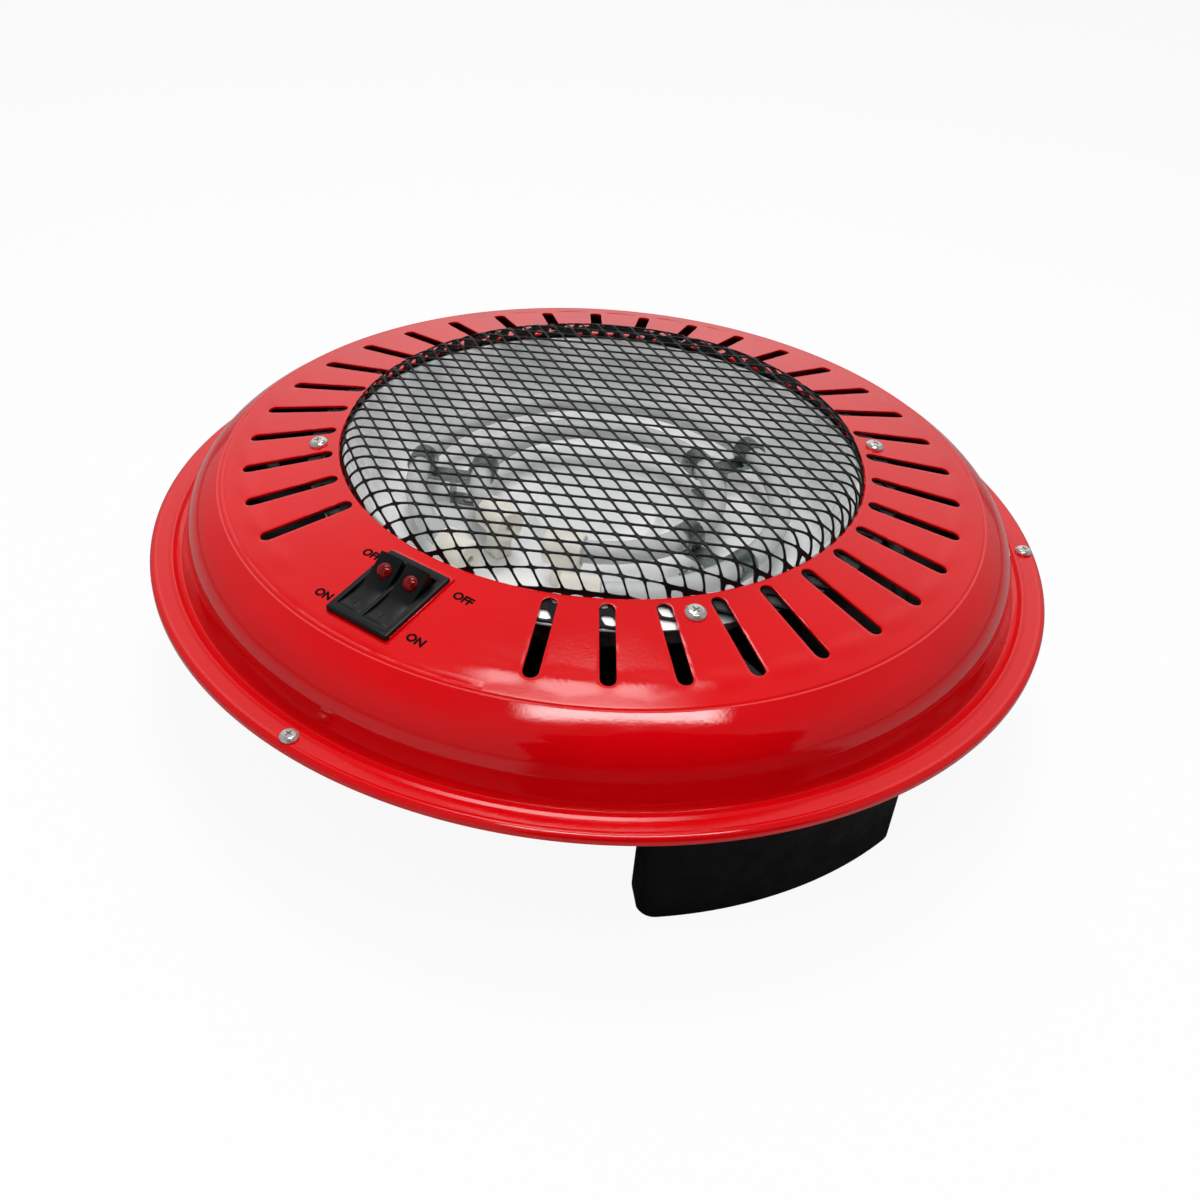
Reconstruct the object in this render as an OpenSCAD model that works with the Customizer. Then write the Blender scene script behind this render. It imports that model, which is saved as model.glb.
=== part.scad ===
// Round table brazier: a pressed dome on three curved feet, with a wire guard
// over a bright bowl that holds two ring-shaped quartz heating tubes.
// Millimetres, +Z up. The origin is the centre of the circle the feet stand in, on the floor.
// The switch is at the front, at -Y.

/* [Cover] */
// Outside diameter of the rolled rim
outer_d = 400; // [396:1:410]
// Height of the flange above the floor
flange_z = 68; // [62:1:80]
// Width of the flange from the raised bead to the rim
flange_w = 9.7; // [8.5:0.1:10.5]
// Width of the groove between the wall and the bead
groove_w = 4.2; // [3.8:0.1:4.6]
// Depth of the rolled lip below the flange
lip_h = 4; // [3.5:0.1:6]
// Distance of the crease round the slotted cone, in from the rim
crease_in = 31.5; // [30.5:0.1:33.5]
// Height of the crease above the flange
crease_h = 27.3; // [26:0.1:29]
// Width of the slotted cone, from the crease in to the opening
cone_w = 52.5; // [51.5:0.1:53.5]
// Height of the opening's edge above the flange
opening_h = 36; // [35:0.1:38]
// Length of the flat bevel under the crease
bevel_len = 8.2; // [6:0.1:9]
// Slope of that bevel, in degrees
bevel_deg = 33; // [30:1:36]
// How far the wall leans out from the shoulder to its foot
wall_lean = 1.6; // [1:0.1:2]
// Thickness of the cover's sheet
cover_t = 1; // [0.8:0.05:1.2]

/* [Slots] */
// Slots that a full circle would take
slot_count = 36; // [30:1:36]
// Slots left out round the switch
slots_left_out = 4; // [4:1:4]
// Width of a slot
slot_w = 6; // [4:0.1:7]
// Distance from the opening to the slots' inner ends
slot_start = 3; // [2.5:0.1:5]
// Distance from the slots' outer ends to the crease
slot_stop = 10.5; // [7.5:0.1:18]

/* [Guard] */
// Long pitch of the guard's diamonds
mesh_px = 21; // [20:0.5:26]
// Short pitch of the guard's diamonds
mesh_py = 12.9; // [12:0.1:16]
// Width of a strand
strand_w = 1.3; // [1:0.1:1.6]
// Thickness of the guard
mesh_t = 1.1; // [0.8:0.1:1.3]
// Height of the guard's middle above the opening's edge
crown_h = 10; // [9.5:0.1:14]
// Radius of the guard's shoulder
guard_r = 10; // [7:0.5:10]
// Width of the guard's flat edge under the cover
guard_edge_w = 13; // [11:0.5:15]

/* [Reflector] */
// Thickness of the reflector's sheet
dish_t = 0.8; // [0.5:0.05:1]
// Width of the reflector's flange under the guard
dish_edge_w = 17; // [15:0.5:18]
// Run of the reflector's wall, from the opening in to its floor
dish_wall_w = 21; // [18:0.5:22]
// Depth of the reflector's floor below the flange
dish_drop = 5; // [3:0.1:6]
// Height of the raised middle of the floor
dish_boss_h = 4; // [2:0.1:5]
// Diameter of the raised middle of the floor
dish_boss_d = 56; // [40:1:60]

/* [Heating tubes] */
// Distance from the opening in to the outer ring's centre line
ring_in = 33; // [32:0.5:35]
// Distance between the two rings' centre lines
ring_step = 29; // [27:0.5:31]
// Height of both rings above the flange
ring_h = 13; // [12:0.1:14]
// Outside diameter of a quartz tube
tube_d = 10; // [9:0.1:10.4]
// Wall of a quartz tube
tube_t = 1; // [0.8:0.1:1.2]
// Opening between the ends of the outer ring, in degrees
gap_out = 42; // [40:1:48]
// Turn of the outer ring's opening from the front, in degrees
turn_out = 9; // [6:1:12]
// Opening between the ends of the inner ring, in degrees
gap_in = 41; // [39:1:46]
// Outside diameter of a ceramic end cap
cap_d = 15; // [14:0.1:16]
// Length of a ceramic end cap
cap_len = 17; // [15:0.5:18]
// How far a tube goes into its cap
cap_seat = 7; // [5:0.5:9]
// Width of a tube clip
clip_w = 9; // [7:0.5:10]
// Thickness of the clips' sheet
clip_t = 1; // [0.8:0.1:1.2]
// Directions of the tube clips, in degrees
clip_angles = [62, 205, 350];

/* [Base] */
// Thickness of the base pan's sheet
pan_t = 0.8; // [0.6:0.05:1]
// Depth of the pan's floor below the flange
pan_drop = 14; // [13:0.5:16]
// Distance of the pan's floor in from the rim
pan_floor_in = 17.5; // [16:0.5:19]
// Distance of the feet in from the rim
feet_in = 20.5; // [20:0.5:24]
// Radial depth of a foot
foot_depth = 22; // [20:0.5:26]
// Angle that a foot spans, in degrees
foot_span = 38.7; // [34:0.1:44]
// Wall of a foot
foot_wall = 3; // [2.4:0.1:3.6]
// Radius of a foot's upright corners
foot_corner = 7; // [5:0.5:8]

/* [Fasteners] */
// Distance of the cover screws out from the opening
cover_screw_out = 9.5; // [9:0.1:10]
// Angle of the cover screws from the side, in degrees
cover_screw_deg = 40; // [40:1:40]
// Distance of the rim screws in from the rim
rim_screw_in = 5; // [4.8:0.1:5.5]
// Thread diameter of the cover screws
cover_screw_d = 4; // [3.5:0.1:4.2]
// Thread diameter of the rim and foot screws
rim_screw_d = 3.5; // [3:0.1:3.8]
// Thread diameter of the clip screws
clip_screw_d = 3; // [2.6:0.1:3.2]

/* [Switch] */
// Distance of the switch's middle in from the crease
switch_in = 27; // [26:0.5:28]
// Width of the switch's bezel
bezel_w = 29; // [28.5:0.1:31]
// Length of the switch's bezel
bezel_l = 37; // [36:0.1:38]
// Height of the bezel on the cover
bezel_h = 2.2; // [1.8:0.1:2.6]
// Width of one rocker
rocker_w = 10.6; // [10:0.1:10.8]
// Length of one rocker
rocker_l = 26.4; // [25:0.1:27]
// Distance between the two rockers' middles
rocker_pitch = 12.8; // [12.4:0.1:13]
// Turn of a rocker from off to on, in degrees
rocker_turn = 24; // [20:1:26]
// Diameter of a rocker's pins
pin_d = 3; // [2.4:0.1:3.2]
// Diameter of a rocker's lens
lens_d = 6.3; // [5.5:0.1:6.8]
// Distance of a lens from its rocker's pins
lens_y = 6; // [5.5:0.1:7]
// Depth of the switch body below the cover
switch_depth = 21; // [20:0.5:24]

/* [Hidden] */
$fn = 64;
// Clearances: between stacked sheets, round a screw, round a moving piece, in a pin's bore
sheet_gap = 0.05;
hole_gap = 0.25;
move_gap = 0.3;
pin_gap = 0.05;
cut = 1;
outer_r = outer_d / 2;
crease_r = outer_r - crease_in;
opening_r = crease_r - cone_w;
bead_r = outer_r - flange_w;
foot_of_wall_r = bead_r - groove_w;
wall_r = foot_of_wall_r - wall_lean;
shoulder_r = (wall_r - crease_r - bevel_len * cos(bevel_deg)) / (1 - sin(bevel_deg));
shoulder_z = crease_h - bevel_len * sin(bevel_deg) - shoulder_r * cos(bevel_deg);
slope = atan((opening_h - crease_h) / (crease_r - opening_r));
groove_z = -1.7;
flange_top = -0.5;
rim_round = 2;
arc_steps = 10;
front = 270;
foot_angles = [330, 210, 90];
rim_screw_angles = [30, 150, 270];
cover_screw_angles = [cover_screw_deg, 180 - cover_screw_deg, 180 + cover_screw_deg, 360 - cover_screw_deg];
// Sheets that hang under the cover's cone, as depths below its top surface
guard_top = cover_t / cos(slope) + sheet_gap;
dish_top = guard_top + mesh_t + sheet_gap;
nut_top = dish_top + dish_t + sheet_gap;
guard_wall_r = opening_r - sheet_gap - 0.4;
guard_flat_z = opening_h + crown_h;
cover_screw_r = opening_r + cover_screw_out;
rim_screw_r = outer_r - rim_screw_in;
switch_r = crease_r - switch_in;
ring_out_r = opening_r - ring_in;
ring_in_r = ring_out_r - ring_step;
tube_r = tube_d / 2;
cap_r = cap_d / 2;
dish_floor_z = -dish_drop;
pan_top_z = flange_top - cover_t - sheet_gap;
pan_floor_z = -pan_drop;
pan_under_z = pan_floor_z - pan_t;
pan_floor_r = outer_r - pan_floor_in;
foot_r = outer_r - feet_in;
foot_mid_r = foot_r - foot_depth / 2;
foot_screw_deg = foot_span * 0.3;
head_h = 2.4;
rocker_rest = rocker_turn / 2;
rocker_mid_h = 3.6;
pivot_z = bezel_h - 0.3 - rocker_mid_h * cos(rocker_rest);
well_w = rocker_w + 2 * move_gap;
well_l = rocker_l * cos(rocker_rest) + 2 * (rocker_mid_h + rocker_l / 2 * tan(rocker_rest)) * sin(rocker_rest)
         + 2 * move_gap;
body_w = rocker_pitch + well_w + 2 * 1.1;
body_l = well_l + 2 * 1.4;

// Height of the cover's cone at a radius
function cone_z(r) = opening_h - (r - opening_r) * tan(slope);
// A point moved against its normal; deg is the normal's direction
function sunk(p, deg, t) = [p[0] - t * cos(deg), p[1] - t * sin(deg)];
// Points of an arc about c
function arc(c, r, from, to, n) = [for (i = [0:n]) let (a = from + (to - from) * i / n) c + r * [cos(a), sin(a)]];
function reversed(v) = [for (i = [len(v) - 1:-1:0]) v[i]];
// Corners of a rectangle with rounded corners, about the middle
function round_rect(w, l, r) = concat(
    arc([w / 2 - r, l / 2 - r], r, 0, 90, 4), arc([r - w / 2, l / 2 - r], r, 90, 180, 4),
    arc([r - w / 2, r - l / 2], r, 180, 270, 4), arc([w / 2 - r, r - l / 2], r, 270, 360, 4));

// The cover's section, sunk by t under its outer surface
function cover_line(t) = let (n = 90 - slope, half = (n + 90 - bevel_deg) / 2) concat(
    arc([opening_r + cover_t, cone_z(opening_r + cover_t) - cover_t / cos(slope)], cover_t - t, 180, n, 4),
    [sunk([crease_r, crease_h], half, t / cos(n - half))],
    arc([wall_r - shoulder_r, shoulder_z], shoulder_r - t, 90 - bevel_deg, 0, arc_steps),
    [sunk([foot_of_wall_r, groove_z + 1.1], 20, t),
     sunk([foot_of_wall_r + groove_w * 0.4, groove_z], 75, t),
     sunk([foot_of_wall_r + groove_w * 0.6, groove_z], 100, t),
     sunk([bead_r, flange_top + 0.2], 98, t),
     sunk([bead_r + 1.5, flange_top], 90, t)],
    arc([outer_r - rim_round, flange_top - rim_round], rim_round - t, 90, 0, 4),
    [[outer_r - t, -lip_h]]);

// Places: on the flange's level, at a direction, on the cone at a radius and direction, at the switch
module raised() { translate([0, 0, flange_z]) children(); }
module at(deg, r, z) { rotate([0, 0, deg]) translate([r, 0, z]) children(); }
module on_cone(deg, r) { at(deg, r, cone_z(r)) rotate([0, slope, 0]) children(); }
module at_switch() { translate([0, -switch_r, cone_z(switch_r)]) rotate([slope, 0, 0]) children(); }
module rocker_place(side) {
    at_switch() translate([side * rocker_pitch / 2, 0, pivot_z]) rotate([rocker_rest, 0, 0]) children();
}
// The room that the switch's body takes in a sheet, with a gap all round
module switch_room(gap) {
    at_switch() translate([-body_w / 2 - gap, -body_l / 2 - gap, -switch_depth - gap])
        cube([body_w + 2 * gap, body_l + 2 * gap, 2 * switch_depth]);
}

// A pan-head screw, its head's seat at z = 0 and its shank going down
module pan_screw(d, len) {
    difference() {
        union() {
            translate([0, 0, -len]) cylinder(d = d, h = len + head_h / 2);
            rotate_extrude() polygon(concat([[0, 0], [d, 0], [d * 1.05, head_h * 0.35]],
                                            [[d * 0.9, head_h * 0.75], [d * 0.55, head_h], [0, head_h]]));
        }
        for (a = [45, 135]) rotate([0, 0, a]) translate([-d * 0.55, -d * 0.09, head_h * 0.45])
            cube([d * 1.1, d * 0.18, head_h]);
    }
}
module hex_nut(d, h) {
    difference() {
        cylinder(r = d, h = h, $fn = 6);
        translate([0, 0, -cut]) cylinder(d = d + 0.1, h = h + 2 * cut);
    }
}
module slot_hole(r1, r2, w, h) {
    translate([r1 + w / 2, 0, -h / 2]) cylinder(d = w, h = h);
    translate([r2 - w / 2, 0, -h / 2]) cylinder(d = w, h = h);
    translate([r1 + w / 2, -w / 2, -h / 2]) cube([r2 - r1 - w, w, h]);
}

module top_cover() {
    pitch = 360 / slot_count;
    first = front + pitch * (slots_left_out + 1) / 2;
    color("firebrick") raised() difference() {
        rotate_extrude($fn = 128) polygon(concat(cover_line(0), reversed(cover_line(cover_t))));
        for (k = [0:slot_count - slots_left_out - 1]) rotate([0, 0, first + k * pitch])
            translate([0, 0, opening_h]) slot_hole(opening_r + slot_start, crease_r - slot_stop, slot_w, 30);
        for (a = cover_screw_angles) on_cone(a, cover_screw_r)
            translate([0, 0, -5]) cylinder(d = cover_screw_d + 2 * hole_gap, h = 10);
        for (a = rim_screw_angles) at(a, rim_screw_r, -5)
            cylinder(d = rim_screw_d + 2 * hole_gap, h = 10);
        switch_room(hole_gap);
    }
}

// The guard's section: a flat top, a round shoulder and a flat edge under the cover
function guard_line(t) = let (r = guard_wall_r) concat([[0, guard_flat_z - t]],
    arc([r - guard_r, guard_flat_z - guard_r], guard_r - t, 90, 0, 3),
    [[r - t, cone_z(r - t) - guard_top - t]]);
module guard_shell() {
    r = guard_wall_r;
    edge = opening_r + guard_edge_w;
    rotate_extrude($fn = 96) polygon(concat(guard_line(0), [[r, cone_z(r) - guard_top],
        [edge, cone_z(edge) - guard_top], [edge, cone_z(edge) - guard_top - mesh_t]],
        reversed(guard_line(mesh_t))));
}
module lattice(edge) {
    run = sqrt(mesh_px * mesh_px + mesh_py * mesh_py);
    lean = atan(mesh_py / mesh_px);
    step = mesh_px * sin(lean);
    n = ceil(edge / step);
    for (side = [-1, 1], k = [-n:n])
        rotate([0, 0, side * lean]) translate([-edge, k * step - strand_w / 2]) square([2 * edge, strand_w]);
}
module mesh_guard() {
    edge = opening_r + guard_edge_w;
    band = opening_r + guard_edge_w - 6;
    color("black") raised() difference() {
        intersection() {
            guard_shell();
            linear_extrude(opening_h + crown_h + cut) union() {
                lattice(edge + cut);
                difference() {
                    circle(r = edge + cut, $fn = 96);
                    circle(r = band, $fn = 96);
                }
            }
        }
        for (a = cover_screw_angles) on_cone(a, cover_screw_r)
            translate([0, 0, -8]) cylinder(d = cover_screw_d + 2 * hole_gap, h = 10);
        switch_room(4 * hole_gap);
    }
}

// The reflector's section, from its flange down the wall to the raised middle
function dish_line(t) = let (edge = opening_r + dish_edge_w, mouth = opening_r - 2.5, floor_r = opening_r - dish_wall_w)
    concat([[edge, cone_z(edge) - dish_top - t],
            [mouth + t * 0.7, cone_z(mouth) - dish_top - t]],
           arc([floor_r - 1, dish_floor_z + 8], 8 + t, -14, -90, 5),
           [[dish_boss_d / 2 + 4, dish_floor_z - t],
            [dish_boss_d / 2, dish_floor_z + dish_boss_h - t],
            [0, dish_floor_z + dish_boss_h - t]]);
module reflector_dish() {
    color("gainsboro") raised() difference() {
        rotate_extrude($fn = 96) polygon(concat(dish_line(0), reversed(dish_line(dish_t))));
        for (a = cover_screw_angles) on_cone(a, cover_screw_r)
            translate([0, 0, -10]) cylinder(d = cover_screw_d + 2 * hole_gap, h = 10);
        for (a = clip_angles) at(a, clip_foot_r(), dish_floor_z - 5)
            cylinder(d = clip_screw_d + 2 * hole_gap, h = 10);
        for (k = [0:3]) at(lead_deg(k), lead_r(k), dish_floor_z - 5)
            cylinder(d = lead_d + 4 * hole_gap, h = 10);
        switch_room(4 * hole_gap);
    }
}

// The pan's section: flange, sloping wall and floor
function pan_line(t) = [[outer_r - rim_round - sheet_gap, pan_top_z - t],
    [bead_r + 1.2, pan_top_z - t], [pan_floor_r - t * 0.6, pan_floor_z - t], [0, pan_floor_z - t]];
module bottom_pan() {
    vent_in = foot_r - 83.5;
    vent_out = foot_r - 47.5;
    color("dimgray") raised() difference() {
        rotate_extrude($fn = 96) polygon(concat(pan_line(0), reversed(pan_line(pan_t))));
        for (a = rim_screw_angles) at(a, rim_screw_r, -10) cylinder(d = rim_screw_d, h = 12);
        for (f = foot_angles, s = [-1, 1]) at(f + s * foot_screw_deg, foot_mid_r, pan_floor_z - 5)
            cylinder(d = rim_screw_d + 2 * hole_gap, h = 10);
        for (f = foot_angles, k = [-2:2]) rotate([0, 0, f + k * 9])
            translate([0, 0, pan_floor_z]) slot_hole(vent_in, vent_out, 5, 10);
        at(gland_deg, gland_r, pan_floor_z - 5) cylinder(d = gland_d + 2 * hole_gap, h = 10);
        at(earth_deg, earth_r, pan_floor_z - 5) cylinder(d = cover_screw_d + 2 * hole_gap, h = 10);
    }
}

// The outline of a foot in plan, drawn in by t all round
function foot_outline(t) = let (r2 = foot_r - t, r1 = foot_r - foot_depth + t, c = foot_corner - t,
                                a = foot_span / 2 - t / foot_mid_r * 180 / PI,
                                d2 = asin(c / (r2 - c)), d1 = asin(c / (r1 + c)))
    concat(arc([0, 0], r2, d2 - a, a - d2, 12),
           arc((r2 - c) * [cos(a - d2), sin(a - d2)], c, a - d2, a + 90, 5),
           arc((r1 + c) * [cos(a - d1), sin(a - d1)], c, a + 90, a - d1 + 180, 5),
           arc([0, 0], r1, a - d1, d1 - a, 12),
           arc((r1 + c) * [cos(d1 - a), sin(d1 - a)], c, 180 + d1 - a, 270 - a, 5),
           arc((r2 - c) * [cos(d2 - a), sin(d2 - a)], c, 270 - a, 360 + d2 - a, 5));
module foot(deg) {
    h = flange_z + pan_under_z - sheet_gap;
    boss_d = 9;
    color("black") rotate([0, 0, deg]) difference() {
        union() {
            difference() {
                linear_extrude(h) polygon(foot_outline(0));
                translate([0, 0, foot_wall]) linear_extrude(h) polygon(foot_outline(foot_wall));
            }
            for (s = [-1, 1]) at(s * foot_screw_deg, foot_mid_r, foot_wall / 2)
                cylinder(d = boss_d, h = h - foot_wall / 2);
            for (s = [-1, 0, 1]) rotate([0, 0, s * foot_screw_deg])
                translate([foot_r - foot_depth + foot_wall / 2, -foot_wall / 4, foot_wall / 2])
                cube([foot_depth - foot_wall, foot_wall / 2, h - 6]);
        }
        for (s = [-1, 1]) at(s * foot_screw_deg, foot_mid_r, h - foot_screw_len)
            cylinder(d = rim_screw_d - 0.02, h = foot_screw_len + cut);
    }
}
foot_screw_len = 14;
module foot_right() { foot(foot_angles[0]); }
module foot_left() { foot(foot_angles[1]); }
module foot_back() { foot(foot_angles[2]); }
module foot_screws() {
    color("silver") raised() for (f = foot_angles, s = [-1, 1])
        at(f + s * foot_screw_deg, foot_mid_r, pan_floor_z) pan_screw(rim_screw_d - 0.1, foot_screw_len - cut);
}

module cover_screws() {
    color("silver") raised() for (a = cover_screw_angles)
        on_cone(a, cover_screw_r) pan_screw(cover_screw_d, 9);
}
module cover_nuts() {
    color("silver") raised() for (a = cover_screw_angles) on_cone(a, cover_screw_r)
        translate([0, 0, -nut_top * cos(slope) - 3.3]) hex_nut(cover_screw_d, 3.2);
}
module rim_screws() {
    color("silver") raised() for (a = rim_screw_angles)
        at(a, rim_screw_r, flange_top) pan_screw(rim_screw_d - 0.1, 8);
}

module switch_housing() {
    wells = 15;
    color("darkslategray") raised() at_switch() difference() {
        union() {
            translate([0, 0, 0.15]) linear_extrude(bezel_h - 0.55) polygon(round_rect(bezel_w, bezel_l, 1.5));
            translate([0, 0, bezel_h - 0.45]) linear_extrude(0.45)
                polygon(round_rect(bezel_w - 0.8, bezel_l - 0.8, 1.2));
            translate([-body_w / 2, -body_l / 2, -switch_depth]) cube([body_w, body_l, switch_depth + 1]);
        }
        for (s = [-1, 1]) translate([s * rocker_pitch / 2, 0, 0]) {
            translate([-well_w / 2, -well_l / 2, bezel_h - wells]) cube([well_w, well_l, wells + cut]);
            for (y = [-9, 0, 9]) translate([-2.5 - 0.05, y - 0.45, -switch_depth - cut]) cube([5.1, 0.9, 12]);
        }
        translate([-body_w / 2 - cut, 0, pivot_z]) rotate([0, 90, 0])
            cylinder(d = pin_d + 2 * pin_gap, h = body_w + 2 * cut);
    }
}
module rocker(side) {
    half = rocker_l / 2;
    end_h = rocker_mid_h + half * tan(rocker_rest);
    reach = (body_w - rocker_pitch) / 2;
    pin_out = reach - 0.1;
    pin_in = rocker_pitch / 2 - 0.1;
    color("darkslategray") raised() rocker_place(side) difference() {
        union() {
            translate([-rocker_w / 2, 0, 0]) rotate([90, 0, 90]) linear_extrude(rocker_w)
                polygon(concat([[half, end_h], [half, end_h - 6], [half - 4, -4.5], [3, -7]],
                               [[-3, -7], [4 - half, -4.5], [-half, end_h - 6], [-half, end_h]],
                               [[-half * 0.5, end_h * 0.5 + rocker_mid_h * 0.5 - 0.35], [0, rocker_mid_h - 0.35],
                                [half * 0.5, end_h * 0.5 + rocker_mid_h * 0.5 - 0.35]]));
            translate([side > 0 ? -pin_in : -pin_out, 0, 0]) rotate([0, 90, 0])
                cylinder(d = pin_d, h = pin_in + pin_out);
        }
        lens_place() translate([0, 0, -4]) cylinder(d = lens_d + 0.1, h = 8);
        lens_place() translate([0, 0, -16]) cylinder(d = lens_d - 1.2, h = 14);
    }
}
module lens_place() {
    half = rocker_l / 2;
    top = rocker_mid_h - 0.35 + (lens_y / half) * half * tan(rocker_rest);
    translate([0, lens_y, top]) rotate([rocker_rest, 0, 0]) children();
}
module rocker_left() { rocker(-1); }
module rocker_right() { rocker(1); }
module lens(side) {
    color("red", 0.8) raised() rocker_place(side) lens_place() rotate_extrude()
        polygon(concat([[0, -3.9], [lens_d / 2, -3.9]], arc([0, 0], lens_d / 2, 0, 90, 6)));
}
module lens_left() { lens(-1); }
module lens_right() { lens(1); }
module neon_lamp(side) {
    color("orange") raised() rocker_place(side) lens_place()
        translate([0, 0, -4 - 4]) cylinder(d = 2.8, h = 4);
}
module neon_lamp_left() { neon_lamp(-1); }
module neon_lamp_right() { neon_lamp(1); }
module switch_terminals() {
    color("goldenrod") raised() at_switch() for (s = [-1, 1], y = [-9, 0, 9])
        translate([s * rocker_pitch / 2 - 2.4, y - 0.4, -switch_depth - 8]) difference() {
            cube([4.8, 0.8, 18]);
            translate([2.4, -cut, 3.5]) rotate([-90, 0, 0]) cylinder(d = 1.6, h = 3);
        }
}

// A part ring with a round section, open towards the front
module part_ring(ring_r, from, to, r) {
    rotate([0, 0, from]) rotate_extrude(angle = to - from, $fn = 96) translate([ring_r, 0]) circle(r = r, $fn = 32);
}
module quartz_tube(ring_r, gap) {
    color("whitesmoke", 0.5) raised() translate([0, 0, ring_h]) difference() {
        part_ring(ring_r, front + gap / 2 - 360, front - gap / 2, tube_r);
        part_ring(ring_r, front + gap / 2 - 362, front - gap / 2 + 2, tube_r - tube_t);
    }
}
module outer_quartz_tube() { rotate([0, 0, turn_out]) quartz_tube(ring_out_r, gap_out); }
module inner_quartz_tube() { quartz_tube(ring_in_r, gap_in); }
module heating_coil(ring_r, gap) {
    color("sienna") raised() translate([0, 0, ring_h])
        part_ring(ring_r, front + gap / 2 - 359, front - gap / 2 - 1, tube_r - tube_t - move_gap);
}
module outer_heating_coil() { rotate([0, 0, turn_out]) heating_coil(ring_out_r, gap_out); }
module inner_heating_coil() { heating_coil(ring_in_r, gap_in); }

// Ceramic caps on both ends of a ring, each with a foot on the reflector's floor
module end_caps(ring_r, gap) {
    seat_deg = cap_seat / ring_r * 180 / PI;
    len_deg = cap_len / ring_r * 180 / PI;
    foot_h = ring_h - dish_floor_z - sheet_gap;
    color("white") raised() for (m = [0, 1]) mirror([m, 0, 0]) difference() {
        union() {
            translate([0, 0, ring_h])
                part_ring(ring_r, front + gap / 2 + seat_deg - len_deg, front + gap / 2 + seat_deg, cap_r);
            at(front + gap / 2 + seat_deg - len_deg / 2, ring_r, dish_floor_z + sheet_gap)
                translate([-4, -4.5, 0]) cube([8, 9, foot_h - cap_r / 2]);
        }
        translate([0, 0, ring_h])
            part_ring(ring_r, front + gap / 2 - 0.3, front + gap / 2 + seat_deg + 5, tube_r + sheet_gap);
        at(front + gap / 2 + seat_deg - len_deg / 2 - 1, ring_r, dish_floor_z - cut)
            cylinder(d = lead_d + 2 * sheet_gap, h = foot_h - cap_r / 2);
    }
}
module outer_end_caps() { rotate([0, 0, turn_out]) end_caps(ring_out_r, gap_out); }
module inner_end_caps() { end_caps(ring_in_r, gap_in); }

// Clips: a post between the rings carries a strap with a loop round each tube
function clip_foot_r() = (ring_out_r + ring_in_r) / 2 - 8;
module tube_clips() {
    loop_r = tube_r + 0.45 + clip_t;
    strap_z = ring_h - loop_r;
    post_r = (ring_out_r + ring_in_r) / 2;
    color("slategray") raised() for (a = clip_angles) rotate([0, 0, a]) difference() {
        union() {
            for (r = [ring_in_r, ring_out_r]) translate([r, 0, ring_h]) rotate([90, 0, 0])
                cylinder(r = loop_r, h = clip_w, center = true, $fn = 32);
            translate([ring_in_r, -clip_w / 2, strap_z]) cube([ring_out_r - ring_in_r, clip_w, clip_t * 2]);
            translate([post_r - clip_t / 2, -clip_w / 2, dish_floor_z + sheet_gap])
                cube([clip_t, clip_w, strap_z - dish_floor_z + clip_t]);
            translate([post_r - 13, -clip_w / 2, dish_floor_z + sheet_gap]) cube([13, clip_w, clip_t]);
        }
        for (r = [ring_in_r, ring_out_r]) translate([r, 0, ring_h]) rotate([90, 0, 0])
            cylinder(r = loop_r - clip_t, h = clip_w + 2 * cut, center = true, $fn = 32);
        translate([clip_foot_r(), 0, dish_floor_z - cut]) cylinder(d = clip_screw_d + 2 * hole_gap, h = 5);
    }
}
module clip_screws() {
    color("silver") raised() for (a = clip_angles)
        at(a, clip_foot_r(), dish_floor_z + 2 * sheet_gap + clip_t) pan_screw(clip_screw_d, 6);
}
module clip_nuts() {
    color("silver") raised() for (a = clip_angles)
        at(a, clip_foot_r(), dish_floor_z - dish_t - sheet_gap - 2.4) hex_nut(clip_screw_d, 2.4);
}

// Leads: down from each cap, through the reflector, then out to the loom
lead_d = 3;
function lead_r(k) = k % 2 == 0 ? ring_out_r : ring_in_r;
function lead_half(k) = let (r = lead_r(k), gap = k % 2 == 0 ? gap_out : gap_in)
    gap / 2 + (cap_seat - cap_len / 2) / r * 180 / PI - 1;
function lead_deg(k) = front + (k % 2 == 0 ? turn_out : 0) + (k < 2 ? 1 : -1) * lead_half(k);
module element_leads() {
    run_z = pan_floor_z + 4.6;
    top = ring_h - cap_r / 2 - 2;
    color("ivory") raised() for (k = [0:3]) rotate([0, 0, lead_deg(k)]) {
        translate([lead_r(k), 0, run_z]) cylinder(d = lead_d, h = top - run_z);
        translate([lead_r(k), 0, run_z]) sphere(d = lead_d);
        translate([lead_r(k), 0, run_z]) rotate([0, 90, 0])
            cylinder(d = lead_d, h = switch_r - loom_d / 2 - sheet_gap - lead_r(k));
    }
}
loom_d = 6;
loom_end = 44;
module wire_loom() {
    z = pan_floor_z + loom_d / 2 + sheet_gap;
    rise = cone_z(switch_r) - switch_depth - 9.5 - z;
    color("dimgray") raised() {
        translate([0, 0, z]) part_ring(switch_r, front - 20 - 360, loom_end, loom_d / 2);
        at(front, switch_r, z) cylinder(d = loom_d - 1, h = rise);
    }
}

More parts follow.
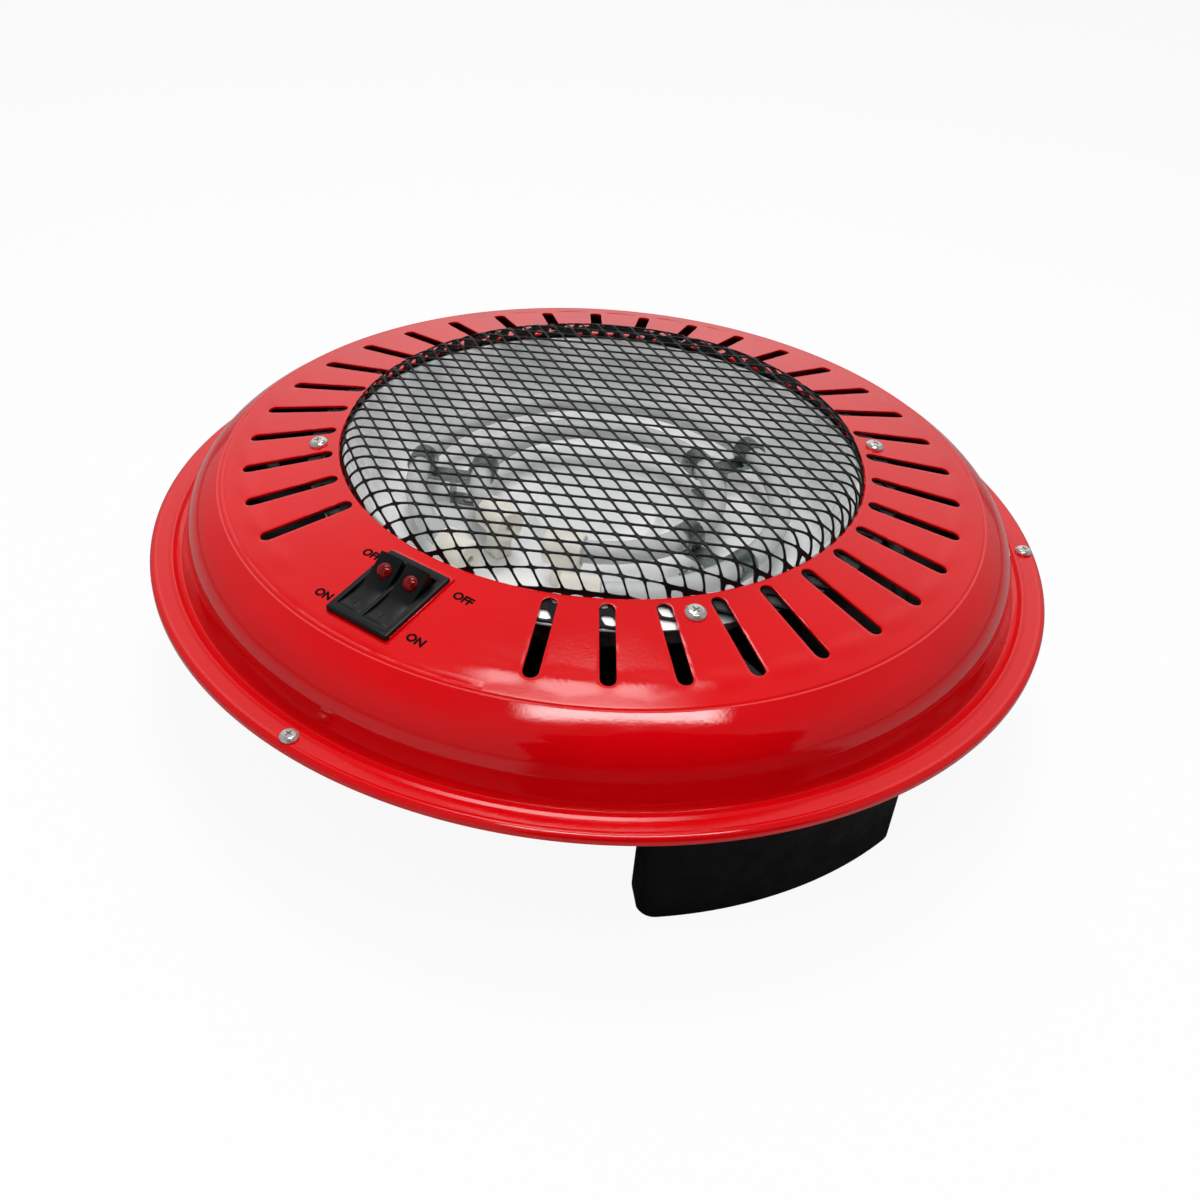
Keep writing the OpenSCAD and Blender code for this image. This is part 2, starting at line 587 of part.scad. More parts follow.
block_deg = 51;
module terminal_block() {
    w = 30;
    d = 17;
    h = 13;
    color("ivory") raised() at(block_deg, switch_r, pan_floor_z + sheet_gap) difference() {
        translate([-d / 2, -w / 2, 0]) cube([d, w, h]);
        for (k = [-1:1]) {
            translate([-d / 2 - cut, k * 9.5, 5]) rotate([0, 90, 0]) cylinder(d = 3.4, h = d + 2 * cut);
            for (x = [-4.5, 4.5]) translate([x, k * 9.5, 4]) cylinder(d = 3.4, h = h);
        }
    }
}
module terminal_screws() {
    color("silver") raised() at(block_deg, switch_r, pan_floor_z + sheet_gap)
        for (k = [-1:1], x = [-4.5, 4.5]) translate([x, k * 9.5, 6]) difference() {
            cylinder(d = 3.3, h = 4.5);
            translate([-2, -0.3, 3.7]) cube([4, 0.6, 2]);
        }
}
module thermal_cutout() {
    color("black") raised() at(125, switch_r + 6, pan_floor_z + sheet_gap) {
        translate([-9, -12, 0]) cube([18, 24, 1]);
        cylinder(d = 16, h = 9);
        for (s = [-1, 1]) translate([s * 5 - 0.4, -2.4, 8]) cube([0.8, 4.8, 8]);
    }
}

// Cord inlet: a gland through the pan's floor with its nut inside
gland_deg = 150;
gland_r = foot_r - 29.5;
gland_d = 16;
module cable_gland() {
    bore = 7;
    color("black") raised() at(gland_deg, gland_r, pan_under_z - sheet_gap) difference() {
        union() {
            cylinder(d = gland_d, h = 9);
            translate([0, 0, -5]) cylinder(r = 12, h = 5, $fn = 6);
            translate([0, 0, -14]) cylinder(d1 = 13, d2 = 19, h = 9);
        }
        translate([0, 0, -15]) cylinder(d = bore, h = 30);
    }
}
module gland_nut() {
    color("black") raised() at(gland_deg, gland_r, pan_floor_z + sheet_gap) difference() {
        cylinder(r = 12, h = 4, $fn = 6);
        translate([0, 0, -cut]) cylinder(d = gland_d + 0.1, h = 6);
    }
}
earth_deg = 20;
earth_r = switch_r + 14;
module earth_screw() {
    color("goldenrod") raised() at(earth_deg, earth_r, pan_floor_z + sheet_gap) {
        pan_screw(cover_screw_d, 6);
    }
}

top_cover();
mesh_guard();
reflector_dish();
bottom_pan();
foot_right();
foot_left();
foot_back();
foot_screws();
cover_screws();
cover_nuts();
rim_screws();
switch_housing();
rocker_left();
rocker_right();
lens_left();
lens_right();
neon_lamp_left();
neon_lamp_right();
switch_terminals();
outer_quartz_tube();
inner_quartz_tube();
outer_heating_coil();
inner_heating_coil();
outer_end_caps();
inner_end_caps();
tube_clips();
clip_screws();
clip_nuts();
element_leads();
terminal_block();
terminal_screws();
thermal_cutout();
cable_gland();
gland_nut();
wire_loom();
earth_screw();
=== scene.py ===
# Looks of the round table brazier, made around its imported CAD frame.
# Every size is in metres, +Z is up and the switch is at the front, at -Y.
import math

import bmesh
import bpy
from bpy.props import FloatProperty, FloatVectorProperty, IntProperty, PointerProperty
from mathutils import Matrix, Vector


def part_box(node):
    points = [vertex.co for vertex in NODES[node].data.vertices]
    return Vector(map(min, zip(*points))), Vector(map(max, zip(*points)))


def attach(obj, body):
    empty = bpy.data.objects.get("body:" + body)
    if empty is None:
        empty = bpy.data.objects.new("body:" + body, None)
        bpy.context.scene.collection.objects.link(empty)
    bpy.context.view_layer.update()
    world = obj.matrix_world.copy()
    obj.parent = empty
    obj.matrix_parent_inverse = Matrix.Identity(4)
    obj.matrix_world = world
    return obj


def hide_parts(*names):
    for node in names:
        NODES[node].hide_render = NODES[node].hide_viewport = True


bl_info = {
    "name": "Table Brazier",
    "version": (1, 0, 0),
    "blender": (4, 5, 0),
    "location": "3D View > Sidebar > Brazier",
    "description": "Builds the pieces and finishes of a round electric table brazier",
    "category": "Add Mesh",
}

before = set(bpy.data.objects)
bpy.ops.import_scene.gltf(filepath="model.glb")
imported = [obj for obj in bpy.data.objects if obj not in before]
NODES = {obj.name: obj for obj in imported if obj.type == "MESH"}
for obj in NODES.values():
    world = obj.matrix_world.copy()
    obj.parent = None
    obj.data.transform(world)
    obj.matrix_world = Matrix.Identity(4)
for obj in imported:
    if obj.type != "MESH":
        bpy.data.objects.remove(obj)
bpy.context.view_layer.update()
COVER_LOW, COVER_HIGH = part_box("top_cover")
GUARD_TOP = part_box("mesh_guard")[1].z
FOOT_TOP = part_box("foot_back")[1].z
MM = 0.001
FULL_TURN = 2 * math.pi
FRONT = math.radians(270)
# The cover's cone has this many steps along a slot's pitch, and along a slot's side
PITCH_STEPS, SIDE_STEPS = 8, 16
# Directions in degrees of the screws on the cover, on the rim and in the tube clips
SCREW_TURNS = {"cover": (40, 140, 220, 320), "rim": (30, 150, 270), "clip": (62, 205, 350)}
FOOT_TURNS = (("right", 330), ("left", 210), ("back", 90))
# Holes for the switch in millimetres: across, along and deep
COVER_HOLE, STEP_HOLE, BOWL_HOLE = (26.5, 32.4, 20), (26.6, 32.6, 20), (28, 34, 44)
# Height of a font's line over the height of its capitals
LINE_TO_CAPITAL = 1.38
# The direction in degrees of the dark shape that the cover mirrors
SHAPE_TURN = 322
FLOOR_R = 6
FINISHES = {}


def mm(*sizes):
    """Sizes given in millimetres."""
    return tuple(size * MM for size in sizes)


def length(name, description, size):
    """A size property, given in millimetres."""
    return FloatProperty(name=name, description=description, default=size * MM, subtype="DISTANCE",
                         precision=5)


def angle(name, description, degrees):
    """An angle property."""
    return FloatProperty(name=name, description=description, default=math.radians(degrees),
                         subtype="ANGLE")


def linear(channel):
    """A screen value from 0 to 255 as a share of the light."""
    share = channel / 255
    return share / 12.92 if share <= 0.04045 else ((share + 0.055) / 1.055) ** 2.4


def colour(name, description, *channels):
    """A colour property, written in the screen's own values from 0 to 255."""
    return FloatVectorProperty(name=name, description=description, default=[linear(c) for c in channels],
                               subtype="COLOR", size=3)


class BrazierCoverSizes(bpy.types.PropertyGroup):
    """Sizes of the pressed cover."""
    outer_r: length("Outer radius", "Radius of the rim", round(COVER_HIGH.x / MM, 1))
    lip_h: length("Lip", "Depth of the rim's lip below the flange", 4)
    flange_w: length("Flange", "Width of the flange from the bead to the rim", 9.7)
    groove_w: length("Groove", "Width of the groove between the wall and the bead", 4.2)
    crease_in: length("Crease", "Distance of the crease in from the rim", 31.5)
    crease_h: length("Crease height", "Height of the crease above the flange", 27.3)
    cone_w: length("Cone", "Width of the slotted cone", 52.5)
    opening_h: length("Opening height", "Height of the opening's edge above the flange", 36)
    bevel_len: length("Bevel", "Length of the flat bevel under the crease", 6.2)
    bevel_angle: angle("Bevel slope", "Slope of that bevel", 33)
    wall_lean: length("Wall lean", "How far the wall leans out down to its foot", 2.4)
    sheet: length("Sheet", "Thickness of the cover's sheet", 1)
    slot_count: IntProperty(name="Slots", description="Slots that a full circle would take", default=36)
    slots_left_out: IntProperty(name="Left out", description="Slots left out round the switch", default=4)
    slot_w: length("Slot width", "Width of a slot", 6)
    slot_start: length("Slot start", "Distance from the opening to the slots", 3)
    slot_stop: length("Slot stop", "Distance from the slots to the crease", 10.5)
    swell: length("Swell", "How much the sheet swells between the outer ends of the slots", 0.42)

    def flange_z(self):
        return COVER_LOW.z + self.lip_h

    def crease_r(self):
        return self.outer_r - self.crease_in

    def opening_r(self):
        return self.crease_r() - self.cone_w

    def slope(self):
        return math.atan((self.opening_h - self.crease_h) / self.cone_w)

    def cone_z(self, r):
        """Height of the cone above the floor at a radius."""
        return self.flange_z() + self.opening_h - (r - self.opening_r()) * math.tan(self.slope())


class BrazierGuardSizes(bpy.types.PropertyGroup):
    """Sizes of the wire guard."""
    strand_one: length("First strand", "Length of a mesh side along the first strands", 8.44)
    strand_two: length("Second strand", "Length of a mesh side along the second strands", 9.07)
    angle_one: angle("First direction", "Direction of the first strands", 29.8)
    angle_two: angle("Second direction", "Direction of the second strands", -33.4)
    strand_w: length("Strand width", "Width of a strand", 0.92)
    strand_t: length("Strand thickness", "Thickness of a strand", 0.7)
    broad: FloatProperty(name="Broad side", description="Share of a mesh that strands take at the back",
                         default=0.6)
    broad_skirt: FloatProperty(name="Broad skirt", description="Least part of that share in the skirt",
                               default=0.6)
    knot_x: length("Knot X", "Place of one crossing, across", 15.0)
    knot_y: length("Knot Y", "Place of one crossing, front to back", -35.7)
    shoulder: length("Shoulder", "Radius of the guard's shoulder", 10)
    camber: length("Camber", "How much the middle stands over the shoulder", 0.8)
    wall_in: length("Wall gap", "Gap between the guard's wall and the opening", 0.45)
    reach: length("Reach", "Radius of the guard's hidden edge", 126.5)


class BrazierBowlSizes(bpy.types.PropertyGroup):
    """Sizes of the reflector and of what it carries."""
    edge_w: length("Flange", "Width of the reflector's flange", 14)
    wall_w: length("Wall", "Run of the wall from the opening in to the floor", 21)
    drop: length("Drop", "Depth of the floor below the flange", 5)
    boss_h: length("Boss", "Height of the raised middle", 4)
    boss_r: length("Boss radius", "Radius of the raised middle", 28)
    sheet: length("Sheet", "Thickness of the reflector's sheet", 0.8)
    flutes: IntProperty(name="Flutes", description="Pressed flutes round the wall", default=60)
    flute_h: length("Flute height", "Height of a flute", 0.5)
    ring_h: length("Tube height", "Height of both tubes above the flange", 13)
    ring_in: length("Outer tube", "Distance from the opening in to the outer tube", 33)
    ring_step: length("Tube step", "Distance between the two tubes", 29)
    tube_r: length("Tube radius", "Outside radius of a quartz tube", 5)
    tube_t: length("Tube wall", "Wall of a quartz tube", 1)
    gap_out: angle("Outer gap", "Angle between the ends of the outer tube", 42)
    turn_out: angle("Outer turn", "Turn of the outer tube's gap from the front", 9)
    gap_in: angle("Inner gap", "Angle between the ends of the inner tube", 41)
    coil_r: length("Coil radius", "Radius of the heating wire's coil", 2.7)
    coil_pitch: length("Coil pitch", "Distance between the coil's turns", 2.6)
    coil_wire: length("Coil wire", "Radius of the heating wire", 0.35)
    cap_r: length("Cap radius", "Radius of a ceramic end cap", 7.5)
    cap_len: length("Cap length", "Length of a ceramic end cap", 17)
    cap_seat: length("Cap seat", "How far a tube goes into its cap", 7)


class BrazierSwitchSizes(bpy.types.PropertyGroup):
    """Sizes of the double switch."""
    inset: length("Inset", "Distance of the switch in from the crease", 27)
    bezel_w: length("Bezel width", "Width of the bezel", 29)
    bezel_side: length("Bezel side", "How much further the bezel reaches to the right", 1)
    bezel_l: length("Bezel length", "Length of the bezel", 37)
    bezel_h: length("Bezel height", "Height of the bezel on the cover", 2.2)
    rocker_w: length("Rocker width", "Width of a rocker", 10.6)
    rocker_l: length("Rocker length", "Length of a rocker", 26.4)
    pitch: length("Pitch", "Distance between the rockers", 12.8)
    rest_angle: angle("Rest", "Tilt of a rocker at rest", 12)
    middle_h: length("Middle", "Height of a rocker over its pin", 3.6)
    dip: length("Dip", "Depth of the hollow in a rocker's top", 0.35)
    lift: length("Lift", "How much higher the end with the lens is made", 0.9)
    lens_r: length("Lens", "Radius of a lens", 3.15)
    lens_h: length("Lens dome", "Height of a lens's dome", 1.7)
    lens_y: length("Lens place", "Distance of a lens from its pin", 7.2)
    letter_h: length("Letters", "Height of the letters", 3.6)

    def rise(self, y):
        """How much higher a rocker's end is than its middle."""
        return self.rocker_l / 2 * math.tan(self.rest_angle) + self.dip + (self.lift if y > 0 else 0)

    def top_z(self, y):
        """Height of a rocker's top over its pin."""
        return self.middle_h - self.dip + self.rise(y) * (abs(y) * 2 / self.rocker_l) ** 1.5


class BrazierColours(bpy.types.PropertyGroup):
    """Colours of the finishes."""
    enamel: colour("Enamel", "Red enamel of the cover", 212, 3, 12)
    wire: colour("Wire", "Coating of the guard", 4, 4, 5)
    bright: colour("Bright", "Polished aluminium of the reflector", 238, 241, 240)
    foot: colour("Feet", "Plastic of the feet", 4, 4, 4)
    switch: colour("Switch", "Plastic of the switch", 9, 11, 11)
    lens: colour("Lens", "Clear red plastic of the lenses", 178, 14, 14)
    screw: colour("Screws", "Nickel of the screws", 222, 220, 214)
    ceramic: colour("Ceramic", "Ceramic of the end caps", 236, 232, 220)
    letter: colour("Letters", "Print of the words", 10, 3, 4)


def clamped(value):
    return min(1, max(0, value))


def polar(r, turn):
    return Vector((r * math.cos(turn), r * math.sin(turn), 0))


def filleted(corners, steps=4):
    """An outline of (x, z, radius) corners with each corner turned into an arc."""
    points = []
    last = len(corners) - 1
    for i, (x, z, radius) in enumerate(corners):
        here = Vector((x, z))
        if i in (0, last) or radius == 0:
            points.append(here)
            continue
        before = (Vector(corners[i - 1][:2]) - here).normalized()
        after = (Vector(corners[i + 1][:2]) - here).normalized()
        half = before.angle(after) / 2
        reach = radius / math.tan(half)
        centre = here + (before + after).normalized() * radius / math.sin(half)
        start = here + before * reach - centre
        sweep = start.angle_signed(here + after * reach - centre)
        points += [centre + Matrix.Rotation(-sweep * k / steps, 2) @ start for k in range(steps + 1)]
    return points


def arc(cx, cz, radius, start, stop, steps):
    """Points of an arc in degrees."""
    turns = [math.radians(start + (stop - start) * k / steps) for k in range(steps + 1)]
    return [Vector((cx + radius * math.cos(a), cz + radius * math.sin(a))) for a in turns]


def chain(bm, points):
    """Vertices joined by edges through 3-D points."""
    verts = [bm.verts.new(p) for p in points]
    for a, b in zip(verts, verts[1:]):
        bm.edges.new((a, b))
    return verts


def edges_of(verts):
    return list({e for v in verts for e in v.link_edges})


def of_kind(made, kind):
    return [g for g in made["geom"] if isinstance(g, kind)]


def spun(bm, outline, steps, start=0.0, turn=FULL_TURN, closed=False):
    """Spins an outline of (radius, height) points about the upright axis."""
    facing = Matrix.Rotation(start, 4, "Z")
    verts = chain(bm, [facing @ Vector((p[0], 0, p[1])) for p in outline])
    if closed:
        bm.edges.new((verts[-1], verts[0]))
    bmesh.ops.spin(bm, geom=verts + edges_of(verts), cent=(0, 0, 0), axis=(0, 0, 1), angle=turn,
                   steps=steps, use_merge=abs(turn - FULL_TURN) < 1e-6, use_duplicate=False)


def outwards(bm):
    """Turns the faces of a closed shape outwards."""
    bmesh.ops.recalc_face_normals(bm, faces=bm.faces)


def tidy(bm):
    """Joins doubled vertices and turns the faces outwards."""
    bmesh.ops.remove_doubles(bm, verts=bm.verts, dist=1e-6)
    outwards(bm)


def face_up(bm):
    """Turns an open sheet so that most of it faces up."""
    outwards(bm)
    if sum(f.normal.z * f.calc_area() for f in bm.faces) < 0:
        bmesh.ops.reverse_faces(bm, faces=bm.faces)


def swept(bm, path, radius, sides):
    """A round tube along a path, its section made once and extruded from point to point."""
    last = len(path) - 1
    tangents = [(path[min(i + 1, last)] - path[max(i - 1, 0)]).normalized() for i in range(last + 1)]
    side = tangents[0].orthogonal().normalized()
    first = [bm.verts.new(path[0]) for _ in range(sides)]
    ring = first
    edges = [bm.edges.new((ring[k], ring[(k + 1) % sides])) for k in range(sides)]
    for i, (point, tangent) in enumerate(zip(path, tangents)):
        side = (side - tangent * side.dot(tangent)).normalized()
        up = tangent.cross(side)
        if i:
            made = bmesh.ops.extrude_edge_only(bm, edges=edges)
            edges = of_kind(made, bmesh.types.BMEdge)
            fresh = set(of_kind(made, bmesh.types.BMVert))
            ring = [next(e.other_vert(v) for e in v.link_edges if e.other_vert(v) in fresh) for v in ring]
        for k, vert in enumerate(ring):
            turn = FULL_TURN * k / sides
            vert.co = point + (side * math.cos(turn) + up * math.sin(turn)) * radius
    bm.faces.new(list(reversed(first)))
    bm.faces.new(ring)


def raised(bm, face, *way):
    """Makes a closed shape of a face, by a copy of it that is moved, and gives what was made."""
    made = bmesh.ops.extrude_face_region(bm, geom=[face])
    bmesh.ops.translate(bm, verts=of_kind(made, bmesh.types.BMVert), vec=way)
    return made


def moved(bm, place):
    """Puts a whole bmesh at a place."""
    bmesh.ops.transform(bm, matrix=place, verts=bm.verts)


def block(bm, place, size):
    """Adds a box of three sizes at a place and gives its vertices."""
    return bmesh.ops.create_cube(bm, size=1, matrix=place @ Matrix.Diagonal((*size, 1)))["verts"]


def soften(bm, edges, offset, segments):
    """Rounds edges while a shape is still open."""
    bmesh.ops.bevel(bm, geom=edges, offset=offset, segments=segments, profile=0.5, affect="EDGES",
                    material=-1)


def new_object(name, bm):
    """Turns a bmesh into an object of the scene."""
    mesh = bpy.data.meshes.new(name)
    bm.to_mesh(mesh)
    bm.free()
    thing = bpy.data.objects.new(name, mesh)
    bpy.context.scene.collection.objects.link(thing)
    return thing


def shown(name, bm, finish, stands_for=None, body="root", sharp=35):
    """Turns a bmesh into a finished piece that rides on a body."""
    piece = new_object(name, bm)
    dress(piece, finish, sharp)
    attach(piece, body)
    if stands_for:
        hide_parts(stands_for)
    return piece


def dress(piece, finish, sharp=35):
    """Gives a piece its finish and smooth faces with sharp edges past an angle."""
    piece.data.materials.clear()
    piece.data.materials.append(finish_named(finish))
    piece.data.shade_smooth()
    piece.data.set_sharp_from_angle(angle=math.radians(sharp))


def mesh_of(thing):
    """The mesh that an object shows."""
    graph = bpy.context.evaluated_depsgraph_get()
    return bpy.data.meshes.new_from_object(thing.evaluated_get(graph))


def bake(piece):
    """Applies a piece's modifiers to its mesh."""
    mesh = mesh_of(piece)
    piece.modifiers.clear()
    old = piece.data
    piece.data = mesh
    bpy.data.meshes.remove(old)


def rounded(piece, width, segments, limit):
    """Rounds a piece's edges past an angle."""
    bevel = piece.modifiers.new("Round", "BEVEL")
    bevel.width = width
    bevel.segments = segments
    bevel.limit_method = "ANGLE"
    bevel.angle_limit = math.radians(limit)
    bevel.use_clamp_overlap = True
    bake(piece)


def thicken(piece, thickness, even=True):
    """Gives a sheet its thickness, on its inner side."""
    sheet = piece.modifiers.new("Sheet", "SOLIDIFY")
    sheet.thickness = thickness
    sheet.offset = -1
    sheet.use_even_offset = even
    bake(piece)


def combine(piece, bm, operation="DIFFERENCE"):
    """Cuts the closed shapes of a bmesh out of a piece, or joins them to it with UNION."""
    cutter = new_object("cutter", bm)
    mesh = cutter.data
    boolean = piece.modifiers.new("Cut", "BOOLEAN")
    boolean.operation = operation
    boolean.solver = "EXACT"
    boolean.object = cutter
    bake(piece)
    bpy.data.objects.remove(cutter)
    bpy.data.meshes.remove(mesh)


def turned(degrees, r, z):
    """Place at a direction, a radius and a height."""
    return Matrix.Rotation(math.radians(degrees), 4, "Z") @ Matrix.Translation((r, 0, z))


def on_cone(cover, degrees, r):
    """Place on the cone, facing out of it."""
    return turned(degrees, r, cover.cone_z(r)) @ Matrix.Rotation(cover.slope(), 4, "Y")


def switch_place(scene, x=0.0, y=0.0, z=0.0):
    """Place on the cone, measured from the middle of the switch."""
    cover = scene.brazier_cover
    r = cover.crease_r() - scene.brazier_switch.inset
    return (Matrix.Translation((0, -r, cover.cone_z(r))) @ Matrix.Rotation(cover.slope(), 4, "X")
            @ Matrix.Translation((x, y, z)))


def cut_for_switch(scene, piece, size):
    """Cuts a hole for the switch."""
    hole = bmesh.new()
    block(hole, switch_place(scene), mm(*size))
    combine(piece, hole)


def rocker_place(scene, side):
    """Place of a rocker's pin at rest; side is -1 for left and 1 for right."""
    s = scene.brazier_switch
    pivot = s.bezel_h - 0.3 * MM - s.middle_h * math.cos(s.rest_angle)
    return switch_place(scene, side * s.pitch / 2, 0, pivot) @ Matrix.Rotation(s.rest_angle, 4, "X")


class Net:
    """Short ways to add nodes to a node tree."""

    def __init__(self, tree):
        self.nodes = tree.nodes
        self.links = tree.links

    def put(self, value, socket):
        """Sets a socket, or joins it to another one."""
        if isinstance(value, bpy.types.NodeSocket):
            self.links.new(value, socket)
        else:
            socket.default_value = value

    def add(self, kind, *values, **named):
        """Adds a shader node: values for its first sockets, then its settings and sockets by name."""
        node = self.nodes.new("ShaderNode" + kind)
        for name, value in named.items():
            if name in node.bl_rna.properties:
                setattr(node, name, value)
            else:
                self.put(value, node.inputs[name])
        for value, socket in zip(values, node.inputs):
            self.put(value, socket)
        return node

    def math(self, operation, *values):
        return self.add("Math", *values, operation=operation).outputs["Value"]

    def vector_math(self, operation, *values, result="Value"):
        return self.add("VectorMath", *values, operation=operation).outputs[result]

    def parts(self, vector, turn=0):
        """X, Y and Z of a vector, seen from a direction in degrees."""
        if turn:
            vector = self.add("VectorRotate", vector, rotation_type="Z_AXIS",
                              Angle=-math.radians(turn)).outputs["Vector"]
        return self.add("SeparateXYZ", vector).outputs

    def spread(self, value, start, stop, low=0.0, high=1.0):
        """Spreads a value smoothly from one range to another."""
        node = self.add("MapRange", value, start, stop, low, high, interpolation_type="SMOOTHSTEP")
        return node.outputs["Result"]

    def mixed(self, share, first, second):
        return self.add("MixShader", share, first, second).outputs["Shader"]


class Finish(Net):
    """A node material that is built up step by step."""

    def __init__(self, name):
        self.key = name
        self.material = bpy.data.materials.new(name)
        self.material.use_nodes = True
        super().__init__(self.material.node_tree)
        self.shader = self.nodes["Principled BSDF"]
        self.place = self.add("TexCoord").outputs["Object"]

    def set(self, **values):
        """Sets or joins the shader's sockets."""
        for name, value in values.items():
            self.put(value, self.shader.inputs[name.replace("_", " ")])
        return self

    def cloud(self, scale, detail=3.0):
        """A noise pattern."""
        return self.add("TexNoise", self.place, Scale=scale, Detail=detail).outputs["Fac"]

    def grains(self, scale):
        """A cell pattern."""
        return self.add("TexVoronoi", self.place, Scale=scale).outputs["Distance"]

    def ramp(self, fac, low, high, start=0.35, stop=0.65):
        """Spreads a pattern between two values or two colours."""
        node = self.add("ValToRGB", fac)
        ends = node.color_ramp.elements
        ends[0].position, ends[1].position = start, stop
        for end, value in zip(ends, (low, high)):
            end.color = (*([value] * 3 if isinstance(value, float) else value[:3]), 1)
        return node.outputs["Color"]

    def tint(self, pattern, base, low, high, *ends):
        """Spreads a pattern between a darker and a lighter shade of a colour."""
        return self.ramp(pattern, shade(base, low), shade(base, high), *ends)

    def bump(self, *layers):
        """Bump from (pattern, distance) layers, one on the other."""
        below = {}
        for pattern, distance in layers:
            node = self.add("Bump", Distance=distance, Height=pattern, **below)
            below = {"Normal": node.outputs["Normal"]}
        return self.set(**below)


def shade(base, factor):
    """A colour made lighter or darker."""
    return tuple(min(1.0, c * factor) for c in base[:3])


def enamel_finish(base):
    f = Finish("red_enamel")
    f.set(IOR=1.45, Coat_Weight=0.2, Coat_Roughness=0.03, Base_Color=f.tint(f.cloud(14), base, 0.95, 1.04),
          Roughness=f.ramp(f.cloud(60, 5), 0.05, 0.1))
    return f.bump((f.cloud(800, 2), 0.00002), (f.cloud(24, 2), 0.00008))


def wire_finish(base):
    f = Finish("black_wire")
    f.set(IOR=1.4, Specular_IOR_Level=0.35, Base_Color=f.tint(f.cloud(90), base, 0.7, 1.3),
          Roughness=f.ramp(f.cloud(200), 0.4, 0.55))
    return f.bump((f.cloud(1500, 2), 0.00003))


def bright_finish(base):
    """Satin aluminium with painted reflections in lighter cloudy patches, and painted shade on the flange
    under the cover except towards the front.
    """
    f = Finish("bright_aluminium")
    across = f.vector_math("LENGTH", f.vector_math("MULTIPLY", f.place, (1, 1, 0), result="Vector"))
    front = f.vector_math("DOT_PRODUCT", f.place, (0.26, -0.966, 0))
    # Painted shade: the flange under the cover is made nearly black, except towards the front where light
    # comes through the slots.
    hidden = f.math("MULTIPLY", f.spread(across, 0.1135, 0.1155), f.spread(front, 0.096, 0.106, 1.0, 0.0))
    # Painted reflection and light: lighter cloudy patches, up to 1.3 times the base, stand in for the
    # bowl's broad reflections and brighten it.
    light = f.tint(f.cloud(20, 1), base, 0.96, 1.3, 0.42, 0.54)
    painted_shade_and_reflection = f.add("MixRGB", hidden, light, (*shade(base, 0.06), 1))
    f.set(Metallic=0.18, Base_Color=painted_shade_and_reflection.outputs["Color"], Roughness=f.ramp(f.cloud(40, 3), 0.14, 0.26))
    return f.bump((f.cloud(14, 1), 0.0014), (f.cloud(700, 2), 0.000004))


def metal_finish(name, base, rough, scale=120.0, depth=0.00004):
    f = Finish(name)
    f.set(Metallic=1.0, Base_Color=f.tint(f.grains(scale), base, 0.8, 1.08, 0.1, 0.8),
          Roughness=f.ramp(f.cloud(scale * 2), rough * 0.8, rough * 1.25))
    return f.bump((f.cloud(scale * 6, 2), depth))


def plastic_finish(name, base, rough, grain=700.0, depth=0.00003, spread=0.15):
    f = Finish(name)
    f.set(IOR=1.47, Base_Color=f.tint(f.cloud(50), base, 1 - spread, 1 + spread),
          Roughness=f.ramp(f.cloud(110), rough * 0.85, rough * 1.15))
    return f.bump((f.grains(grain), depth))


def clear_finish(name, base, rough, ior, milk):
    """A clear finish with a share of milkiness."""
    f = Finish(name)
    f.set(Roughness=rough, IOR=ior, Transmission_Weight=1 - milk,
          Base_Color=f.tint(f.cloud(60), base, 0.94, 1.0))
    return f.bump((f.cloud(160, 2), 0.00002))


def finish_named(name):
    """A finish by the name of its material slot; all of them are made at the first call."""
    if not FINISHES:
        c = bpy.context.scene.brazier_colours
        made = (
            enamel_finish(c.enamel),
            wire_finish(c.wire),
            bright_finish(c.bright),
            # Painted shade: the pan is made near black, darker than grey steel, so that the slots look dark
            # inside.
            plastic_finish("grey_steel", (0.018, 0.018, 0.019), 0.5, 400.0, 0.00003),
            plastic_finish("black_foot", c.foot, 0.5).set(Specular_IOR_Level=0.14),
            metal_finish("bright_screw", c.screw, 0.14, 900.0, 0.00001).set(Metallic=0.7),
            plastic_finish("black_switch", c.switch, 0.3, 1500.0, 0.00001).set(Specular_IOR_Level=0.4),
            clear_finish("red_lens", c.lens, 0.08, 1.49, 0.35),
            clear_finish("lamp_glass", (0.9, 0.55, 0.3), 0.05, 1.5, 0.3),
            metal_finish("brass_blade", (0.78, 0.6, 0.3), 0.25, 300.0),
            clear_finish("quartz", (0.93, 0.95, 0.95), 0.14, 1.3, 0.5),
            metal_finish("heating_wire", (0.2, 0.17, 0.15), 0.4, 600.0),
            plastic_finish("white_ceramic", c.ceramic, 0.55, 500.0, 0.00005, 0.05),
            metal_finish("spring_steel", (0.24, 0.28, 0.28), 0.3, 200.0),
            plastic_finish("glass_sleeve", (0.72, 0.68, 0.58), 0.7, 900.0, 0.0001, 0.08),
            plastic_finish("white_block", (0.8, 0.78, 0.7), 0.5),
            plastic_finish("black_gland", (0.02, 0.02, 0.021), 0.4),
            plastic_finish("grey_sleeve", (0.08, 0.08, 0.085), 0.6, 900.0, 0.0001),
            plastic_finish("letter_print", c.letter, 0.6, 900.0, 0.00001).set(Specular_IOR_Level=0.1),
        )
        FINISHES.update({f.key: f.material for f in made})
    return FINISHES[name]


